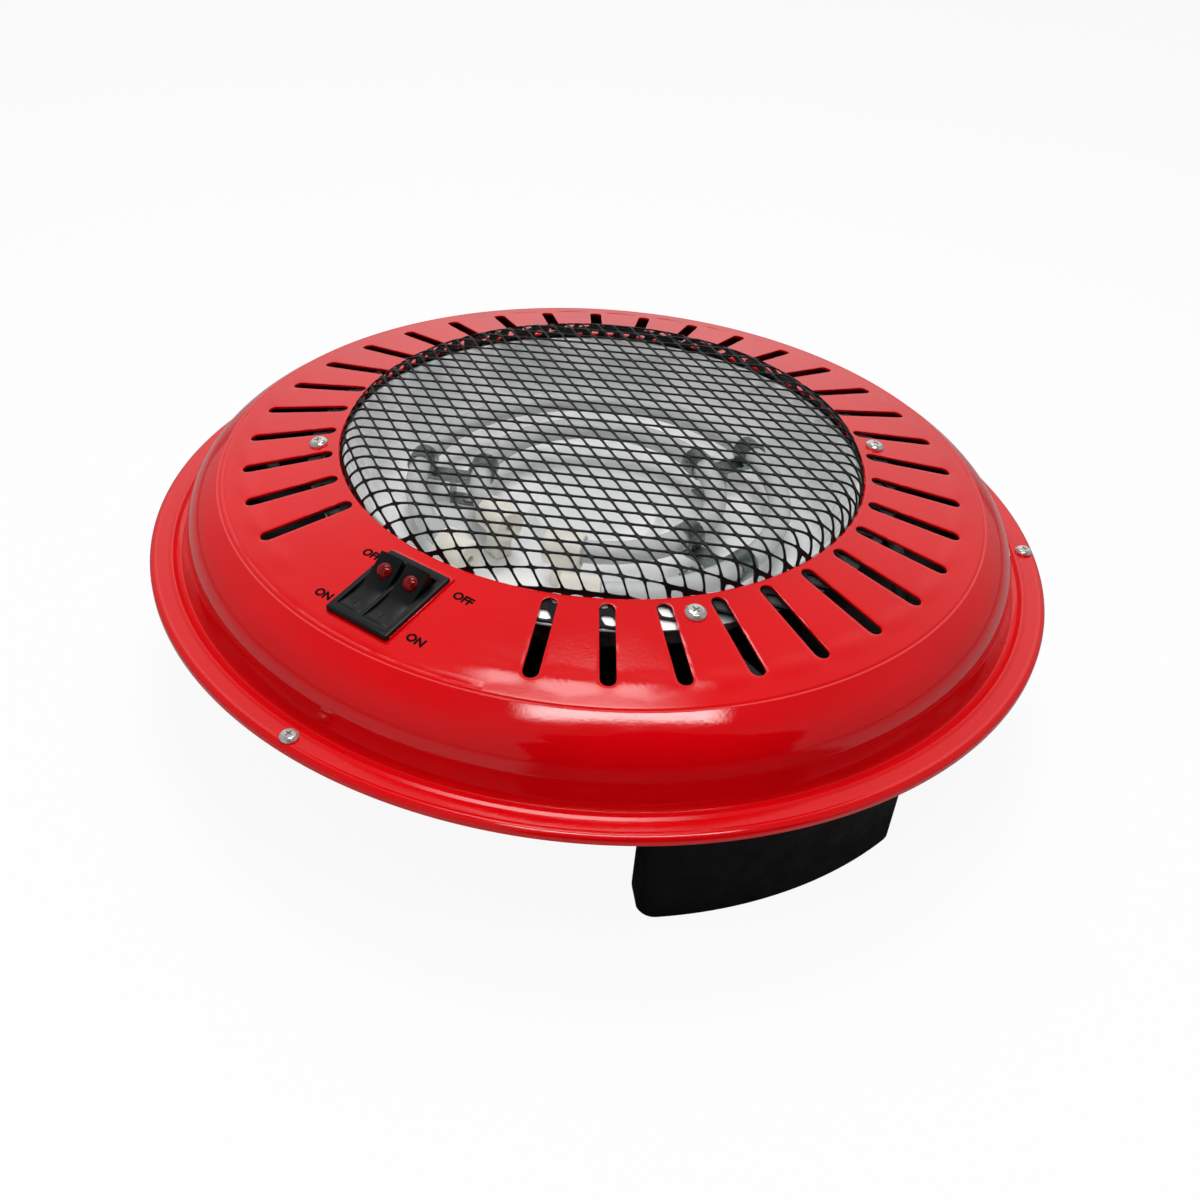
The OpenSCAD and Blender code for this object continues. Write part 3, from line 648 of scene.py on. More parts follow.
def slot_sector(bm, cover, inner_r, outer_r, first):
    """One slot's share of the cone: the slot's outline, extruded out to the sector's own."""
    half = math.pi / cover.slot_count
    end_r = cover.slot_w / 2
    near = cover.opening_r() + cover.slot_start + end_r
    far = cover.crease_r() - cover.slot_stop - end_r
    hole, edge = [], []
    for sign, x, next_x, r, next_r in ((1, far, near, outer_r, inner_r), (-1, near, far, inner_r, outer_r)):
        for k in range(PITCH_STEPS + 1):
            turn = math.pi * k / PITCH_STEPS - sign * math.pi / 2
            hole.append((x + end_r * math.cos(turn), end_r * math.sin(turn)))
            edge.append((r, sign * (2 * half * k / PITCH_STEPS - half)))
        for k in range(1, SIDE_STEPS):
            hole.append((x + (next_x - x) * k / SIDE_STEPS, sign * end_r))
            edge.append((r + (next_r - r) * k / SIDE_STEPS, sign * half))
    ring = chain(bm, [Vector((x, y, 0)) for x, y in hole])
    bm.edges.new((ring[-1], ring[0]))
    fresh = set(of_kind(bmesh.ops.extrude_edge_only(bm, edges=edges_of(ring)), bmesh.types.BMVert))
    spokes = []
    for vert, (r, turn) in zip(ring, edge):
        spoke = next(e for e in vert.link_edges if e.other_vert(vert) in fresh)
        spoke.other_vert(vert).co = polar(r, turn)
        spokes.append(spoke)
    bmesh.ops.subdivide_edges(bm, edges=spokes, cuts=6, use_grid_fill=True)
    bmesh.ops.rotate(bm, verts=bm.verts, cent=(0, 0, 0), matrix=Matrix.Rotation(first, 3, "Z"))


def cover_rim_outline(cover, outer_r):
    """The cover's section from the slotted cone out to the lip."""
    z = cover.flange_z()
    rim = cover.outer_r
    bead = rim - cover.flange_w
    wall = bead - cover.groove_w
    upright = wall - cover.wall_lean
    lean = cover.bevel_angle
    crease, top = cover.crease_r(), z + cover.crease_h
    run = cover.bevel_len * math.cos(lean)
    fall = cover.bevel_len * math.sin(lean)
    radius = (upright - crease - run) / (1 - math.sin(lean))
    centre_z = top - fall - radius * math.cos(lean)

    def corners(*rows):
        """Corners beside a place, from offsets and radii in millimetres."""
        return [(x + dx * MM, height + dz * MM, r * MM) for x, height, dx, dz, r in rows]

    start = corners((outer_r, cover.cone_z(outer_r), 0, 0, 0), (crease, top, -1.2, 0.2, 0.4),
                    (crease, top, -0.4, -0.25, 0.3), (crease, top, 0.5, -0.15, 0.4),
                    (crease + run, top - fall, 0, 0, 0))
    shoulder = arc(upright - radius, centre_z, radius, 90 - math.degrees(lean), 0, 16)
    foot = corners((upright, centre_z, 0, 0, 0), (wall, z, -0.2, -0.7, 0.5), (wall, z, 0.5, -2.5, 0.5),
                   (bead, z, -1.6, -1.7, 0.9), (bead, z, 0, -0.2, 1.2), (bead, z, 1.9, -0.6, 0.8),
                   (rim, z, -3.2, -0.65, 0.8), (rim, z, -1.8, -0.5, 1.6), (rim, z, 0, -1.6, 1.3),
                   (rim, COVER_LOW.z, 0, 0, 0))
    return filleted(start)[:-1] + shoulder[:-1] + filleted(foot)


class BRAZIER_OT_cover(bpy.types.Operator):
    """Makes the pressed red cover with its slots"""
    bl_idname = "brazier.cover"
    bl_label = "Cover"

    def execute(self, context):
        scene = context.scene
        cover = scene.brazier_cover
        inner_r = cover.opening_r() + 1.4 * MM
        outer_r = cover.crease_r() - 2.5 * MM
        pitch = FULL_TURN / cover.slot_count
        left_out = cover.slots_left_out
        slots = cover.slot_count - left_out
        first = FRONT + pitch * (left_out + 1) / 2
        bm = bmesh.new()
        slot_sector(bm, cover, inner_r, outer_r, first)
        geom = bm.verts[:] + bm.edges[:] + bm.faces[:]
        bmesh.ops.spin(bm, geom=geom, cent=(0, 0, 0), axis=(0, 0, 1), angle=pitch * (slots - 1),
                       steps=slots - 1, use_duplicate=True)
        blank = [(outer_r + (inner_r - outer_r) * k / SIDE_STEPS, 0) for k in range(SIDE_STEPS + 1)]
        spun(bm, blank, left_out * PITCH_STEPS, first - pitch / 2 - left_out * pitch, left_out * pitch)
        self.drape(bm, cover, pitch, slots, first)
        around = cover.slot_count * PITCH_STEPS
        spun(bm, cover_rim_outline(cover, outer_r), around, first - pitch / 2)
        lip_r = cover.opening_r() + cover.sheet
        lip_z = cover.cone_z(lip_r) - cover.sheet / math.cos(cover.slope())
        roll = arc(lip_r, lip_z, cover.sheet, 180, 90 - math.degrees(cover.slope()), 5)
        spun(bm, roll + [Vector((inner_r, cover.cone_z(inner_r)))], around, first - pitch / 2)
        tidy(bm)
        face_up(bm)
        piece = shown("cover_pressing", bm, "red_enamel", "top_cover")
        thicken(piece, cover.sheet * 0.95)
        rounded(piece, 0.28 * MM, 2, 50)
        cut_for_switch(scene, piece, COVER_HOLE)
        dress(piece, "red_enamel", 30)
        return {"FINISHED"}

    def drape(self, bm, cover, pitch, slots, first):
        """Lays the flat slots on the cone, which swells a little between their outer ends."""
        slot_end = cover.crease_r() - cover.slot_stop
        for vert in bm.verts:
            r = math.hypot(vert.co.x, vert.co.y)
            share = (r - slot_end + 6 * MM) / (10 * MM)
            turn = (math.atan2(vert.co.y, vert.co.x) - first + pitch) % FULL_TURN
            swell = 0
            if 0 < share < 1 and turn < pitch * (slots + 1):
                between = (1 - math.cos(FULL_TURN * turn / pitch)) / 2
                swell = cover.swell * math.sin(math.pi * share) ** 2 * between ** 0.7
            vert.co.z = cover.cone_z(r) + swell


class BRAZIER_OT_guard(bpy.types.Operator):
    """Makes the wire guard as one net of flat strands, draped over its dome"""
    bl_idname = "brazier.guard"
    bl_label = "Guard"

    def execute(self, context):
        scene = context.scene
        cover, guard = scene.brazier_cover, scene.brazier_guard
        one = Vector((math.cos(guard.angle_one), math.sin(guard.angle_one))) * guard.strand_one
        two = Vector((math.cos(guard.angle_two), math.sin(guard.angle_two))) * guard.strand_two
        cells = 40
        bm = bmesh.new()
        bmesh.ops.create_grid(bm, x_segments=cells, y_segments=cells, size=cells / 2)
        skew = Matrix(((one.x, two.x, 0, guard.knot_x), (one.y, two.y, 0, guard.knot_y),
                       (0, 0, 1, 0), (0, 0, 0, 1)))
        moved(bm, skew)
        wall_r = cover.opening_r() - guard.wall_in
        flat = wall_r - guard.shoulder
        bent = flat + guard.shoulder * math.pi / 2
        foot_z = cover.cone_z(wall_r) - cover.sheet - 0.1 * MM
        shoulder_z = GUARD_TOP - guard.camber
        skirt = bent + shoulder_z - guard.shoulder - foot_z
        reach = skirt + guard.reach - wall_r
        outside = [f for f in bm.faces if f.calc_center_median().length > reach]
        bmesh.ops.delete(bm, geom=outside, context="FACES")
        self.open_meshes(bm, guard, flat, bent, skirt)
        for vert in bm.verts:
            run = math.hypot(vert.co.x, vert.co.y)
            if run < flat:
                r = run
                z = GUARD_TOP - guard.camber * (run / flat) ** 2
            elif run < bent:
                turn = (run - flat) / guard.shoulder
                r = flat + guard.shoulder * math.sin(turn)
                z = shoulder_z - guard.shoulder * (1 - math.cos(turn))
            elif run < skirt:
                r = wall_r
                z = shoulder_z - guard.shoulder - (run - bent)
            else:
                r = wall_r + run - skirt
                z = foot_z - (run - skirt) * math.tan(cover.slope())
            share = r / run if run > 1e-9 else 1
            vert.co = (vert.co.x * share, vert.co.y * share, z)
        # The hidden skirt leaves room for the rockers
        half = scene.brazier_switch.bezel_w / 2 + 2 * MM
        near = -cover.opening_r() - 3 * MM
        spare = [f for f in bm.faces if any(abs(v.co.x) < half and v.co.y < near for v in f.verts)]
        bmesh.ops.delete(bm, geom=spare, context="FACES")
        face_up(bm)
        bmesh.ops.solidify(bm, geom=bm.faces[:], thickness=guard.strand_t)
        outwards(bm)
        shown("guard_net", bm, "black_wire", "mesh_guard", sharp=75)
        return {"FINISHED"}

    def open_meshes(self, bm, guard, flat, bent, skirt):
        """Leaves the strands between the meshes, broad side to the back as in expanded metal."""
        broad_side = Vector((-0.53, 0.85, 0))
        made = bmesh.ops.inset_individual(bm, faces=bm.faces[:], thickness=guard.strand_w / 2,
                                          use_even_offset=True)
        rims = set(made["faces"])
        meshes = [f for f in bm.faces if f not in rims]
        for face in meshes:
            middle = face.calc_center_median()
            bend = clamped((middle.length - flat) / (bent - flat))
            facing = max(0, middle.normalized().dot(broad_side)) ** 0.5
            least = guard.broad_skirt if middle.length > skirt else 0
            scale = 1 - guard.broad * bend * max(facing, least)
            bmesh.ops.scale(bm, vec=(scale, scale, 1), space=Matrix.Translation(-middle), verts=face.verts)
        bmesh.ops.delete(bm, geom=meshes, context="FACES_ONLY")
        long_edges = [e for e in bm.edges if e.calc_length() > 3 * MM]
        bmesh.ops.subdivide_edges(bm, edges=long_edges, cuts=3, use_grid_fill=True)
        corners = [v for v in bm.verts if v.is_boundary]
        bmesh.ops.smooth_vert(bm, verts=corners, factor=0.5, use_axis_x=True, use_axis_y=True)


def bowl_outline(cover, bowl):
    """The reflector's section from its flange down to its middle."""
    edge = cover.opening_r() + bowl.edge_w
    mouth = cover.opening_r() - 2.5 * MM
    floor_r = cover.opening_r() - bowl.wall_w
    drop = 2.3 * MM
    floor_z = cover.flange_z() - bowl.drop
    return filleted([
        (edge, cover.cone_z(edge) - drop, 0),
        (mouth, cover.cone_z(mouth) - drop, 1.5 * MM),
        (floor_r + 6.7 * MM, floor_z + 6 * MM, 9 * MM),
        (floor_r - 3 * MM, floor_z, 5 * MM),
        (bowl.boss_r + 4 * MM, floor_z, 2 * MM),
        (bowl.boss_r, floor_z + bowl.boss_h, 2 * MM),
        (0, floor_z + bowl.boss_h, 0)], 5)


class BRAZIER_OT_bowl(bpy.types.Operator):
    """Makes the bright fluted reflector"""
    bl_idname = "brazier.bowl"
    bl_label = "Reflector"

    def execute(self, context):
        scene = context.scene
        cover, bowl = scene.brazier_cover, scene.brazier_bowl
        outline = bowl_outline(cover, bowl)
        fine = []
        for a, b in zip(outline, outline[1:]):
            steps = max(1, round((b - a).length / (4 * MM)))
            fine += [a.lerp(b, k / steps) for k in range(steps)]
        fine.append(outline[-1])
        bm = bmesh.new()
        spun(bm, fine, bowl.flutes * 6)
        tidy(bm)
        low = cover.flange_z() - bowl.drop + 2 * MM
        high = cover.cone_z(cover.opening_r()) - 4 * MM
        fade = 6 * MM
        for vert in bm.verts:
            r = math.hypot(vert.co.x, vert.co.y)
            share = clamped((vert.co.z - low) / fade) * clamped((high - vert.co.z) / fade)
            if r > bowl.boss_r + 20 * MM and share:
                turn = math.atan2(vert.co.y, vert.co.x)
                push = 1 + bowl.flute_h * share * math.cos(bowl.flutes * turn) / r
                vert.co.x *= push
                vert.co.y *= push
        face_up(bm)
        piece = shown("reflector_bowl", bm, "bright_aluminium", "reflector_dish")
        thicken(piece, bowl.sheet * 0.9)
        cut_for_switch(scene, piece, BOWL_HOLE)
        dress(piece, "bright_aluminium", 40)
        return {"FINISHED"}


def heater_rings(cover, bowl):
    """Name, radius, direction and half width of the gap of the two tubes."""
    outer = cover.opening_r() - bowl.ring_in
    return (("outer", outer, FRONT + bowl.turn_out, bowl.gap_out / 2),
            ("inner", outer - bowl.ring_step, FRONT, bowl.gap_in / 2))


class BRAZIER_OT_tubes(bpy.types.Operator):
    """Makes the quartz tubes and the coiled wires inside them"""
    bl_idname = "brazier.tubes"
    bl_label = "Heating tubes"

    def execute(self, context):
        scene = context.scene
        cover, bowl = scene.brazier_cover, scene.brazier_bowl
        height = cover.flange_z() + bowl.ring_h
        for name, radius, front, gap in heater_rings(cover, bowl):
            start, turn = front + gap, FULL_TURN - 2 * gap
            bm = bmesh.new()
            for r in (bowl.tube_r, bowl.tube_r - bowl.tube_t):
                section = [(radius + p.x, height + p.y) for p in arc(0, 0, r, 0, 348.75, 31)]
                spun(bm, section, 144, start, turn, closed=True)
            loose = [e for e in bm.edges if e.is_boundary]
            for middle in (start, start + turn):
                centre = polar(radius, middle) + Vector((0, 0, height))
                end = [e for e in loose if (e.verts[0].co - centre).length < bowl.tube_r * 1.2]
                bmesh.ops.bridge_loops(bm, edges=end)
            tidy(bm)
            shown(name + "_tube", bm, "quartz", name + "_quartz_tube")
            bm = bmesh.new()
            around = 10
            count = round(radius * turn / bowl.coil_pitch) * around
            path = []
            for k in range(count + 1):
                wind = FULL_TURN * k / around
                point = polar(radius + bowl.coil_r * math.cos(wind), start + turn * k / count)
                point.z = height + bowl.coil_r * math.sin(wind)
                path.append(point)
            swept(bm, path, bowl.coil_wire, 5)
            tidy(bm)
            shown(name + "_coil", bm, "heating_wire", name + "_heating_coil", sharp=80)
        return {"FINISHED"}


class BRAZIER_OT_caps(bpy.types.Operator):
    """Makes the white ceramic caps on the ends of the tubes"""
    bl_idname = "brazier.caps"
    bl_label = "End caps"

    def execute(self, context):
        scene = context.scene
        cover, bowl = scene.brazier_cover, scene.brazier_bowl
        height = cover.flange_z() + bowl.ring_h
        floor = cover.flange_z() - bowl.drop + 0.1 * MM
        tall = height - floor
        r, depth = bowl.cap_r, bowl.cap_len
        bore, seat, wire_r = bowl.tube_r + 0.1 * MM, depth * 0.55, 1.7 * MM
        outline = filleted([(bowl.tube_r * 0.9, seat, 0), (bore, seat, 0), (bore, 0, 0.4 * MM),
                            (r, 0, 0.9 * MM), (r, depth, 1.4 * MM), (wire_r, depth, 0.4 * MM),
                            (wire_r, depth * 0.7, 0), (0, depth * 0.7, 0)])
        for name, radius, front, gap in heater_rings(cover, bowl):
            bm = bmesh.new()
            feet = bmesh.new()
            for side in (-1, 1):
                one = bmesh.new()
                spun(one, [Vector((0, seat))] + outline, 40)
                tidy(one)
                # The mouth takes the tube's end, and the closed end looks into the gap
                middle = math.degrees(front + side * (gap + (bowl.cap_seat - depth / 2) / radius))
                place = (turned(middle, radius, height) @ Matrix.Rotation(-side * math.pi / 2, 4, "Z")
                         @ Matrix.Rotation(math.pi / 2, 4, "Y") @ Matrix.Translation((0, 0, -depth / 2)))
                moved(one, place)
                mesh = bpy.data.meshes.new("part")
                one.to_mesh(mesh)
                one.free()
                bm.from_mesh(mesh)
                bpy.data.meshes.remove(mesh)
                foot = block(feet, turned(middle, radius, floor + tall / 2), (8 * MM, 9 * MM, tall))
                soften(feet, edges_of(foot), 0.8 * MM, 3)
            piece = shown(name + "_caps", bm, "white_ceramic", name + "_end_caps")
            combine(piece, feet, "UNION")
            dress(piece, "white_ceramic", 40)
        return {"FINISHED"}


def screw_shape(thread_r, shank):
    """One cross-head screw with its seat at z = 0 and a threaded shank below, as a mesh."""
    bm = bmesh.new()
    head_r, head_h = thread_r * 2.1, thread_r * 1.15
    core_r = thread_r * 0.84
    pitch = 0.7 * MM
    outline = [Vector((0, -shank)), Vector((thread_r * 0.7, -shank))]
    for k in range(int(shank / pitch) - 1):
        low = -shank + 0.5 * MM + k * pitch
        outline += [Vector((core_r, low)), Vector((thread_r, low + pitch / 2))]
    outline.append(Vector((core_r, -0.2 * MM)))
    crown = filleted([(core_r, 0, 0), (head_r, 0, 0.15 * MM), (head_r, head_h * 0.42, head_h * 0.3),
                      (head_r * 0.72, head_h * 0.92, head_h * 0.6), (0, head_h, 0)], 5)
    spun(bm, outline + crown, 32)
    tidy(bm)
    blank = new_object("screw", bm)
    for turn in (0, math.pi / 2):
        cross = bmesh.new()
        place = Matrix.Rotation(turn, 4, "Z") @ Matrix.Translation((0, 0, head_h))
        arm = block(cross, place, (head_r * 1.15, head_r * 0.24, head_h * 1.3))
        low = [v for v in arm if v.co.z < head_h]
        bmesh.ops.scale(cross, vec=(0.45, 0.45, 1), verts=low)
        combine(blank, cross)
    shape = blank.data.copy()
    bpy.data.objects.remove(blank)
    return shape


class BRAZIER_OT_screws(bpy.types.Operator):
    """Makes the cross-head screws of the cover, the rim and the tube clips"""
    bl_idname = "brazier.screws"
    bl_label = "Screws"

    def execute(self, context):
        scene = context.scene
        cover, bowl = scene.brazier_cover, scene.brazier_bowl
        clip_r = cover.opening_r() - bowl.ring_in - bowl.ring_step / 2 - 8 * MM
        places = {
            "cover": lambda turn: on_cone(cover, turn, cover.opening_r() + 9.5 * MM),
            "rim": lambda turn: turned(turn, cover.outer_r - 5 * MM, cover.flange_z() - 0.5 * MM),
            "clip": lambda turn: turned(turn, clip_r, cover.flange_z() - bowl.drop + 1.1 * MM),
        }
        for name, thread_r, shank, spin, spin_step in (("cover", 2, 9, 25, 31), ("rim", 1.75, 8, 10, 40),
                                                       ("clip", 1.5, 6, 20, 35)):
            shape = screw_shape(thread_r * MM, shank * MM)
            bm = bmesh.new()
            for k, turn in enumerate(SCREW_TURNS[name]):
                place = places[name](turn) @ Matrix.Rotation(math.radians(spin + spin_step * k), 4, "Z")
                before = set(bm.verts)
                bm.from_mesh(shape)
                bmesh.ops.transform(bm, matrix=place, verts=[v for v in bm.verts if v not in before])
            shown(name + "_screw_set", bm, "bright_screw", name + "_screws", sharp=45)
            bpy.data.meshes.remove(shape)
        return {"FINISHED"}


class BRAZIER_OT_feet(bpy.types.Operator):
    """Makes the three hollow curved feet"""
    bl_idname = "brazier.feet"
    bl_label = "Feet"
    far_in: length("Feet", "Distance of the feet in from the rim", 20.5)
    depth: length("Depth", "Radial depth of a foot", 22)
    span: angle("Span", "Angle that a foot spans", 38.7)
    corner: length("Corner", "Radius of the upright corners", 7)
    wall: length("Wall", "Thickness of a foot's wall", 3)

    def execute(self, context):
        scene = context.scene
        outline = self.outline(scene.brazier_cover.outer_r - self.far_in)
        for name, turn in FOOT_TURNS:
            bm = bmesh.new()
            made = raised(bm, bm.faces.new(chain(bm, outline)), 0, 0, FOOT_TOP - 0.05 * MM)
            bmesh.ops.delete(bm, geom=of_kind(made, bmesh.types.BMFace), context="FACES_ONLY")
            outwards(bm)
            soften(bm, [e for e in bm.edges if all(v.co.z < 1e-6 for v in e.verts)], 1.5 * MM, 4)
            bmesh.ops.rotate(bm, verts=bm.verts, cent=(0, 0, 0),
                             matrix=Matrix.Rotation(math.radians(turn), 3, "Z"))
            outwards(bm)
            if sum(f.normal.z for f in bm.faces if f.calc_center_median().z < 1e-5) > 0:
                bmesh.ops.reverse_faces(bm, faces=bm.faces)
            piece = shown(name + "_foot", bm, "black_foot", "foot_" + name)
            thicken(piece, self.wall, even=False)
            dress(piece, "black_foot", 35)
        return {"FINISHED"}

    def outline(self, far):
        """A foot's plan: a far and a near arc, and four rounded corners."""
        near, half, c = far - self.depth, self.span / 2, self.corner
        far_r, near_r = far - c, near + c
        far_swing, near_swing = half - math.asin(c / far_r), half - math.asin(c / near_r)
        quarter = math.pi / 2

        def bend(centre, radius, start, stop, steps=6):
            return [centre + polar(radius, start + (stop - start) * k / steps) for k in range(1, steps + 1)]

        middle = Vector((0, 0, 0))
        return ([polar(far, -far_swing)] + bend(middle, far, -far_swing, far_swing, 24)
                + bend(polar(far_r, far_swing), c, far_swing, half + quarter)
                + bend(polar(near_r, near_swing), c, half + quarter, near_swing + math.pi)
                + bend(middle, near, near_swing, -near_swing, 24)[:-1]
                + bend(polar(near_r, -near_swing), c, math.pi - near_swing, 3 * quarter - half)
                + bend(polar(far_r, -far_swing), c, 3 * quarter - half, FULL_TURN - far_swing)[:-1])


class BRAZIER_OT_switch(bpy.types.Operator):
    """Makes the double switch: bezel, rockers and lenses"""
    bl_idname = "brazier.switch"
    bl_label = "Switch"

    def execute(self, context):
        scene = context.scene
        s = scene.brazier_switch
        self.frame(scene, s)
        self.housing(scene, s)
        for side, name in ((-1, "left"), (1, "right")):
            place = rocker_place(scene, side)
            self.rocker(s, place, name)
            self.lens(s, place, name)
        return {"FINISHED"}

    def housing(self, scene, s):
        well_w = s.rocker_w + 0.6 * MM
        well_l = s.rocker_l + 2.7 * MM
        bm = bmesh.new()
        plate = block(bm, Matrix.Translation((s.bezel_side / 2, 0, s.bezel_h / 2 + 0.08 * MM)),
                      (s.bezel_w + s.bezel_side, s.bezel_l, s.bezel_h - 0.16 * MM))
        soften(bm, [e for e in edges_of(plate) if abs(e.verts[0].co.z - e.verts[1].co.z) > MM], 1.2 * MM, 5)
        soften(bm, [e for e in bm.edges if all(v.co.z > s.bezel_h * 0.8 for v in e.verts)], 0.7 * MM, 4)
        moved(bm, switch_place(scene))
        piece = shown("switch_bezel", bm, "black_switch", "switch_housing")
        body = bmesh.new()
        block(body, switch_place(scene, z=-10 * MM),
              (s.pitch + well_w + 2.2 * MM, well_l + 2.8 * MM, 22 * MM))
        combine(piece, body, "UNION")
        wells = bmesh.new()
        for side in (-1, 1):
            block(wells, switch_place(scene, side * s.pitch / 2, 0, -5 * MM), (well_w, well_l, 16 * MM))
        combine(piece, wells)
        rounded(piece, 0.18 * MM, 2, 50)
        dress(piece, "black_switch", 35)

    def frame(self, scene, s):
        """Low pressed step of the cover that shows behind the bezel."""
        bm = bmesh.new()
        step = block(bm, switch_place(scene, s.bezel_side / 2, 1.7 * MM, 0.05 * MM),
                     (s.bezel_w + s.bezel_side + 0.8 * MM, s.bezel_l - 0.2 * MM, 1.5 * MM))
        soften(bm, edges_of(step), 0.25 * MM, 2)
        piece = shown("switch_step", bm, "red_enamel")
        cut_for_switch(scene, piece, STEP_HOLE)
        dress(piece, "red_enamel", 35)

    def rocker(self, s, place, name):
        half = s.rocker_l / 2
        end_z = s.middle_h + half * math.tan(s.rest_angle) - 6 * MM
        top = [(y, s.top_z(y)) for y in (-half + 2 * half * k / 16 for k in range(17))]
        under = [(half, end_z), (half - 4 * MM, -4.5 * MM), (3 * MM, -7 * MM), (-3 * MM, -7 * MM),
                 (4 * MM - half, -4.5 * MM), (-half, end_z)]
        bm = bmesh.new()
        verts = chain(bm, [Vector((-s.rocker_w / 2, y, z)) for y, z in top + under])
        raised(bm, bm.faces.new(verts), s.rocker_w, 0, 0)
        outwards(bm)
        moved(bm, place)
        piece = shown(name + "_rocker_key", bm, "black_switch", "rocker_" + name, name + "_rocker")
        # A short line is cut across the end without a lens
        mark = bmesh.new()
        mark_y = -0.72 * half
        tilt = -math.atan(math.tan(s.rest_angle) * 1.2)
        block(mark, place @ Matrix.Translation((0, mark_y, s.top_z(mark_y) + 0.02 * MM))
              @ Matrix.Rotation(tilt, 4, "X"), mm(0.55, 2.8, 0.5))
        combine(piece, mark)
        seat = bmesh.new()
        seat_r = s.lens_r + 0.15 * MM
        bmesh.ops.create_cone(seat, cap_ends=True, segments=40, radius1=seat_r, radius2=seat_r,
                              depth=5 * MM, matrix=place @ self.lens_place(s))
        combine(piece, seat)
        rounded(piece, 0.32 * MM, 3, 40)
        dress(piece, "black_switch", 40)

    def lens_place(self, s):
        """Place of a lens on its rocker."""
        half = s.rocker_l / 2
        slant = math.atan(s.rise(s.lens_y) * 1.5 * (s.lens_y / half) ** 0.5 / half)
        return Matrix.Translation((0, s.lens_y, s.top_z(s.lens_y))) @ Matrix.Rotation(slant, 4, "X")

    def lens(self, s, place, name):
        bm = bmesh.new()
        ball = (s.lens_r ** 2 + s.lens_h ** 2) / (2 * s.lens_h)
        cap = math.degrees(math.asin(s.lens_r / ball))
        dome = arc(0, s.lens_h + 0.4 * MM - ball, ball, 90 - cap, 90, 10)
        base_z = -2.2 * MM
        spun(bm, [Vector((0, base_z)), Vector((s.lens_r, base_z))] + dome, 40)
        tidy(bm)
        moved(bm, place @ self.lens_place(s))
        shown(name + "_lens", bm, "red_lens", "lens_" + name, name + "_rocker")


class BRAZIER_OT_words(bpy.types.Operator):
    """Prints the words ON and OFF beside the switch"""
    bl_idname = "brazier.words"
    bl_label = "Words"

    def execute(self, context):
        scene = context.scene
        cover = scene.brazier_cover
        lean = cover.slope()
        for name, word, x, y in (("off_left", "OFF", -20.5, -128), ("off_right", "OFF", 24.5, -127.5),
                                 ("on_left", "ON", -21, -154), ("on_right", "ON", 23.5, -153)):
            curve = bpy.data.curves.new(name, "FONT")
            curve.body = word
            curve.size = scene.brazier_switch.letter_h * LINE_TO_CAPITAL
            curve.align_x = "CENTER"
            curve.align_y = "CENTER"
            curve.extrude = 0.02 * MM
            curve.offset = 0.22 * MM
            text = bpy.data.objects.new(name, curve)
            scene.collection.objects.link(text)
            mesh = mesh_of(text)
            bpy.data.objects.remove(text)
            normal = polar(math.sin(lean), math.atan2(y, x)) + Vector((0, 0, math.cos(lean)))
            across = (Vector((1, 0, 0)) - normal * normal.x).normalized()
            axes = Matrix((across, normal.cross(across), normal)).transposed().to_4x4()
            spot = Vector((x * MM, y * MM, cover.cone_z(math.hypot(x, y) * MM)))
            mesh.transform(Matrix.Translation(spot + normal * 0.05 * MM) @ axes)
            bm = bmesh.new()
            bm.from_mesh(mesh)
            tidy(bm)
            shown("word_" + name, bm, "letter_print", sharp=20)
        return {"FINISHED"}


CAD_FINISHES = {
    "grey_steel": "bottom_pan",
    "black_foot": "foot_right foot_left foot_back",
    "bright_screw": "foot_screws cover_screws cover_nuts rim_screws clip_screws clip_nuts terminal_screws",
    "black_switch": "switch_housing rocker_left rocker_right",
    "red_lens": "lens_left lens_right",
    "lamp_glass": "neon_lamp_left neon_lamp_right",
    "brass_blade": "switch_terminals earth_screw",
    "quartz": "outer_quartz_tube inner_quartz_tube",
    "heating_wire": "outer_heating_coil inner_heating_coil",
    "white_ceramic": "outer_end_caps inner_end_caps",
    "spring_steel": "tube_clips",
    "glass_sleeve": "element_leads",
    "white_block": "terminal_block",
    "black_gland": "thermal_cutout cable_gland gland_nut",
    "grey_sleeve": "wire_loom",
}


class BRAZIER_OT_finishes(bpy.types.Operator):
    """Gives the CAD's own pieces their finishes"""
    bl_idname = "brazier.finishes"
    bl_label = "Finishes"

    def execute(self, context):
        for finish, nodes in CAD_FINISHES.items():
            for node in nodes.split():
                slots = NODES[node].data.materials
                slots.clear()
                slots.append(finish_named(finish))
        return {"FINISHED"}


def area_lamp(name, place, target, size, power, fade=(0.3, 0.3)):
    """A lamp that looks at a point and fades towards its edges, over a share of each side."""
    data = bpy.data.lights.new(name, "AREA")
    data.shape = "RECTANGLE"
    data.size, data.size_y = size
    data.energy = power
    data.use_nodes = True
    net = Net(data.node_tree)
    across = net.parts(net.add("NewGeometry").outputs["Parametric"])
    level = 1.0
    for axis, share in zip("XY", fade):
        inwards = net.math("MINIMUM", across[axis], net.math("SUBTRACT", 1.0, across[axis]))
        level = net.math("MULTIPLY", level, net.spread(inwards, 0, share))
    net.put(level, net.nodes["Emission"].inputs["Strength"])
    lamp = bpy.data.objects.new(name, data)
    bpy.context.scene.collection.objects.link(lamp)
    lamp.location = place
    lamp.visible_camera = False
    lamp.rotation_mode = "QUATERNION"
    lamp.rotation_quaternion = (Vector(target) - Vector(place)).to_track_quat("-Z", "Y")
    return lamp


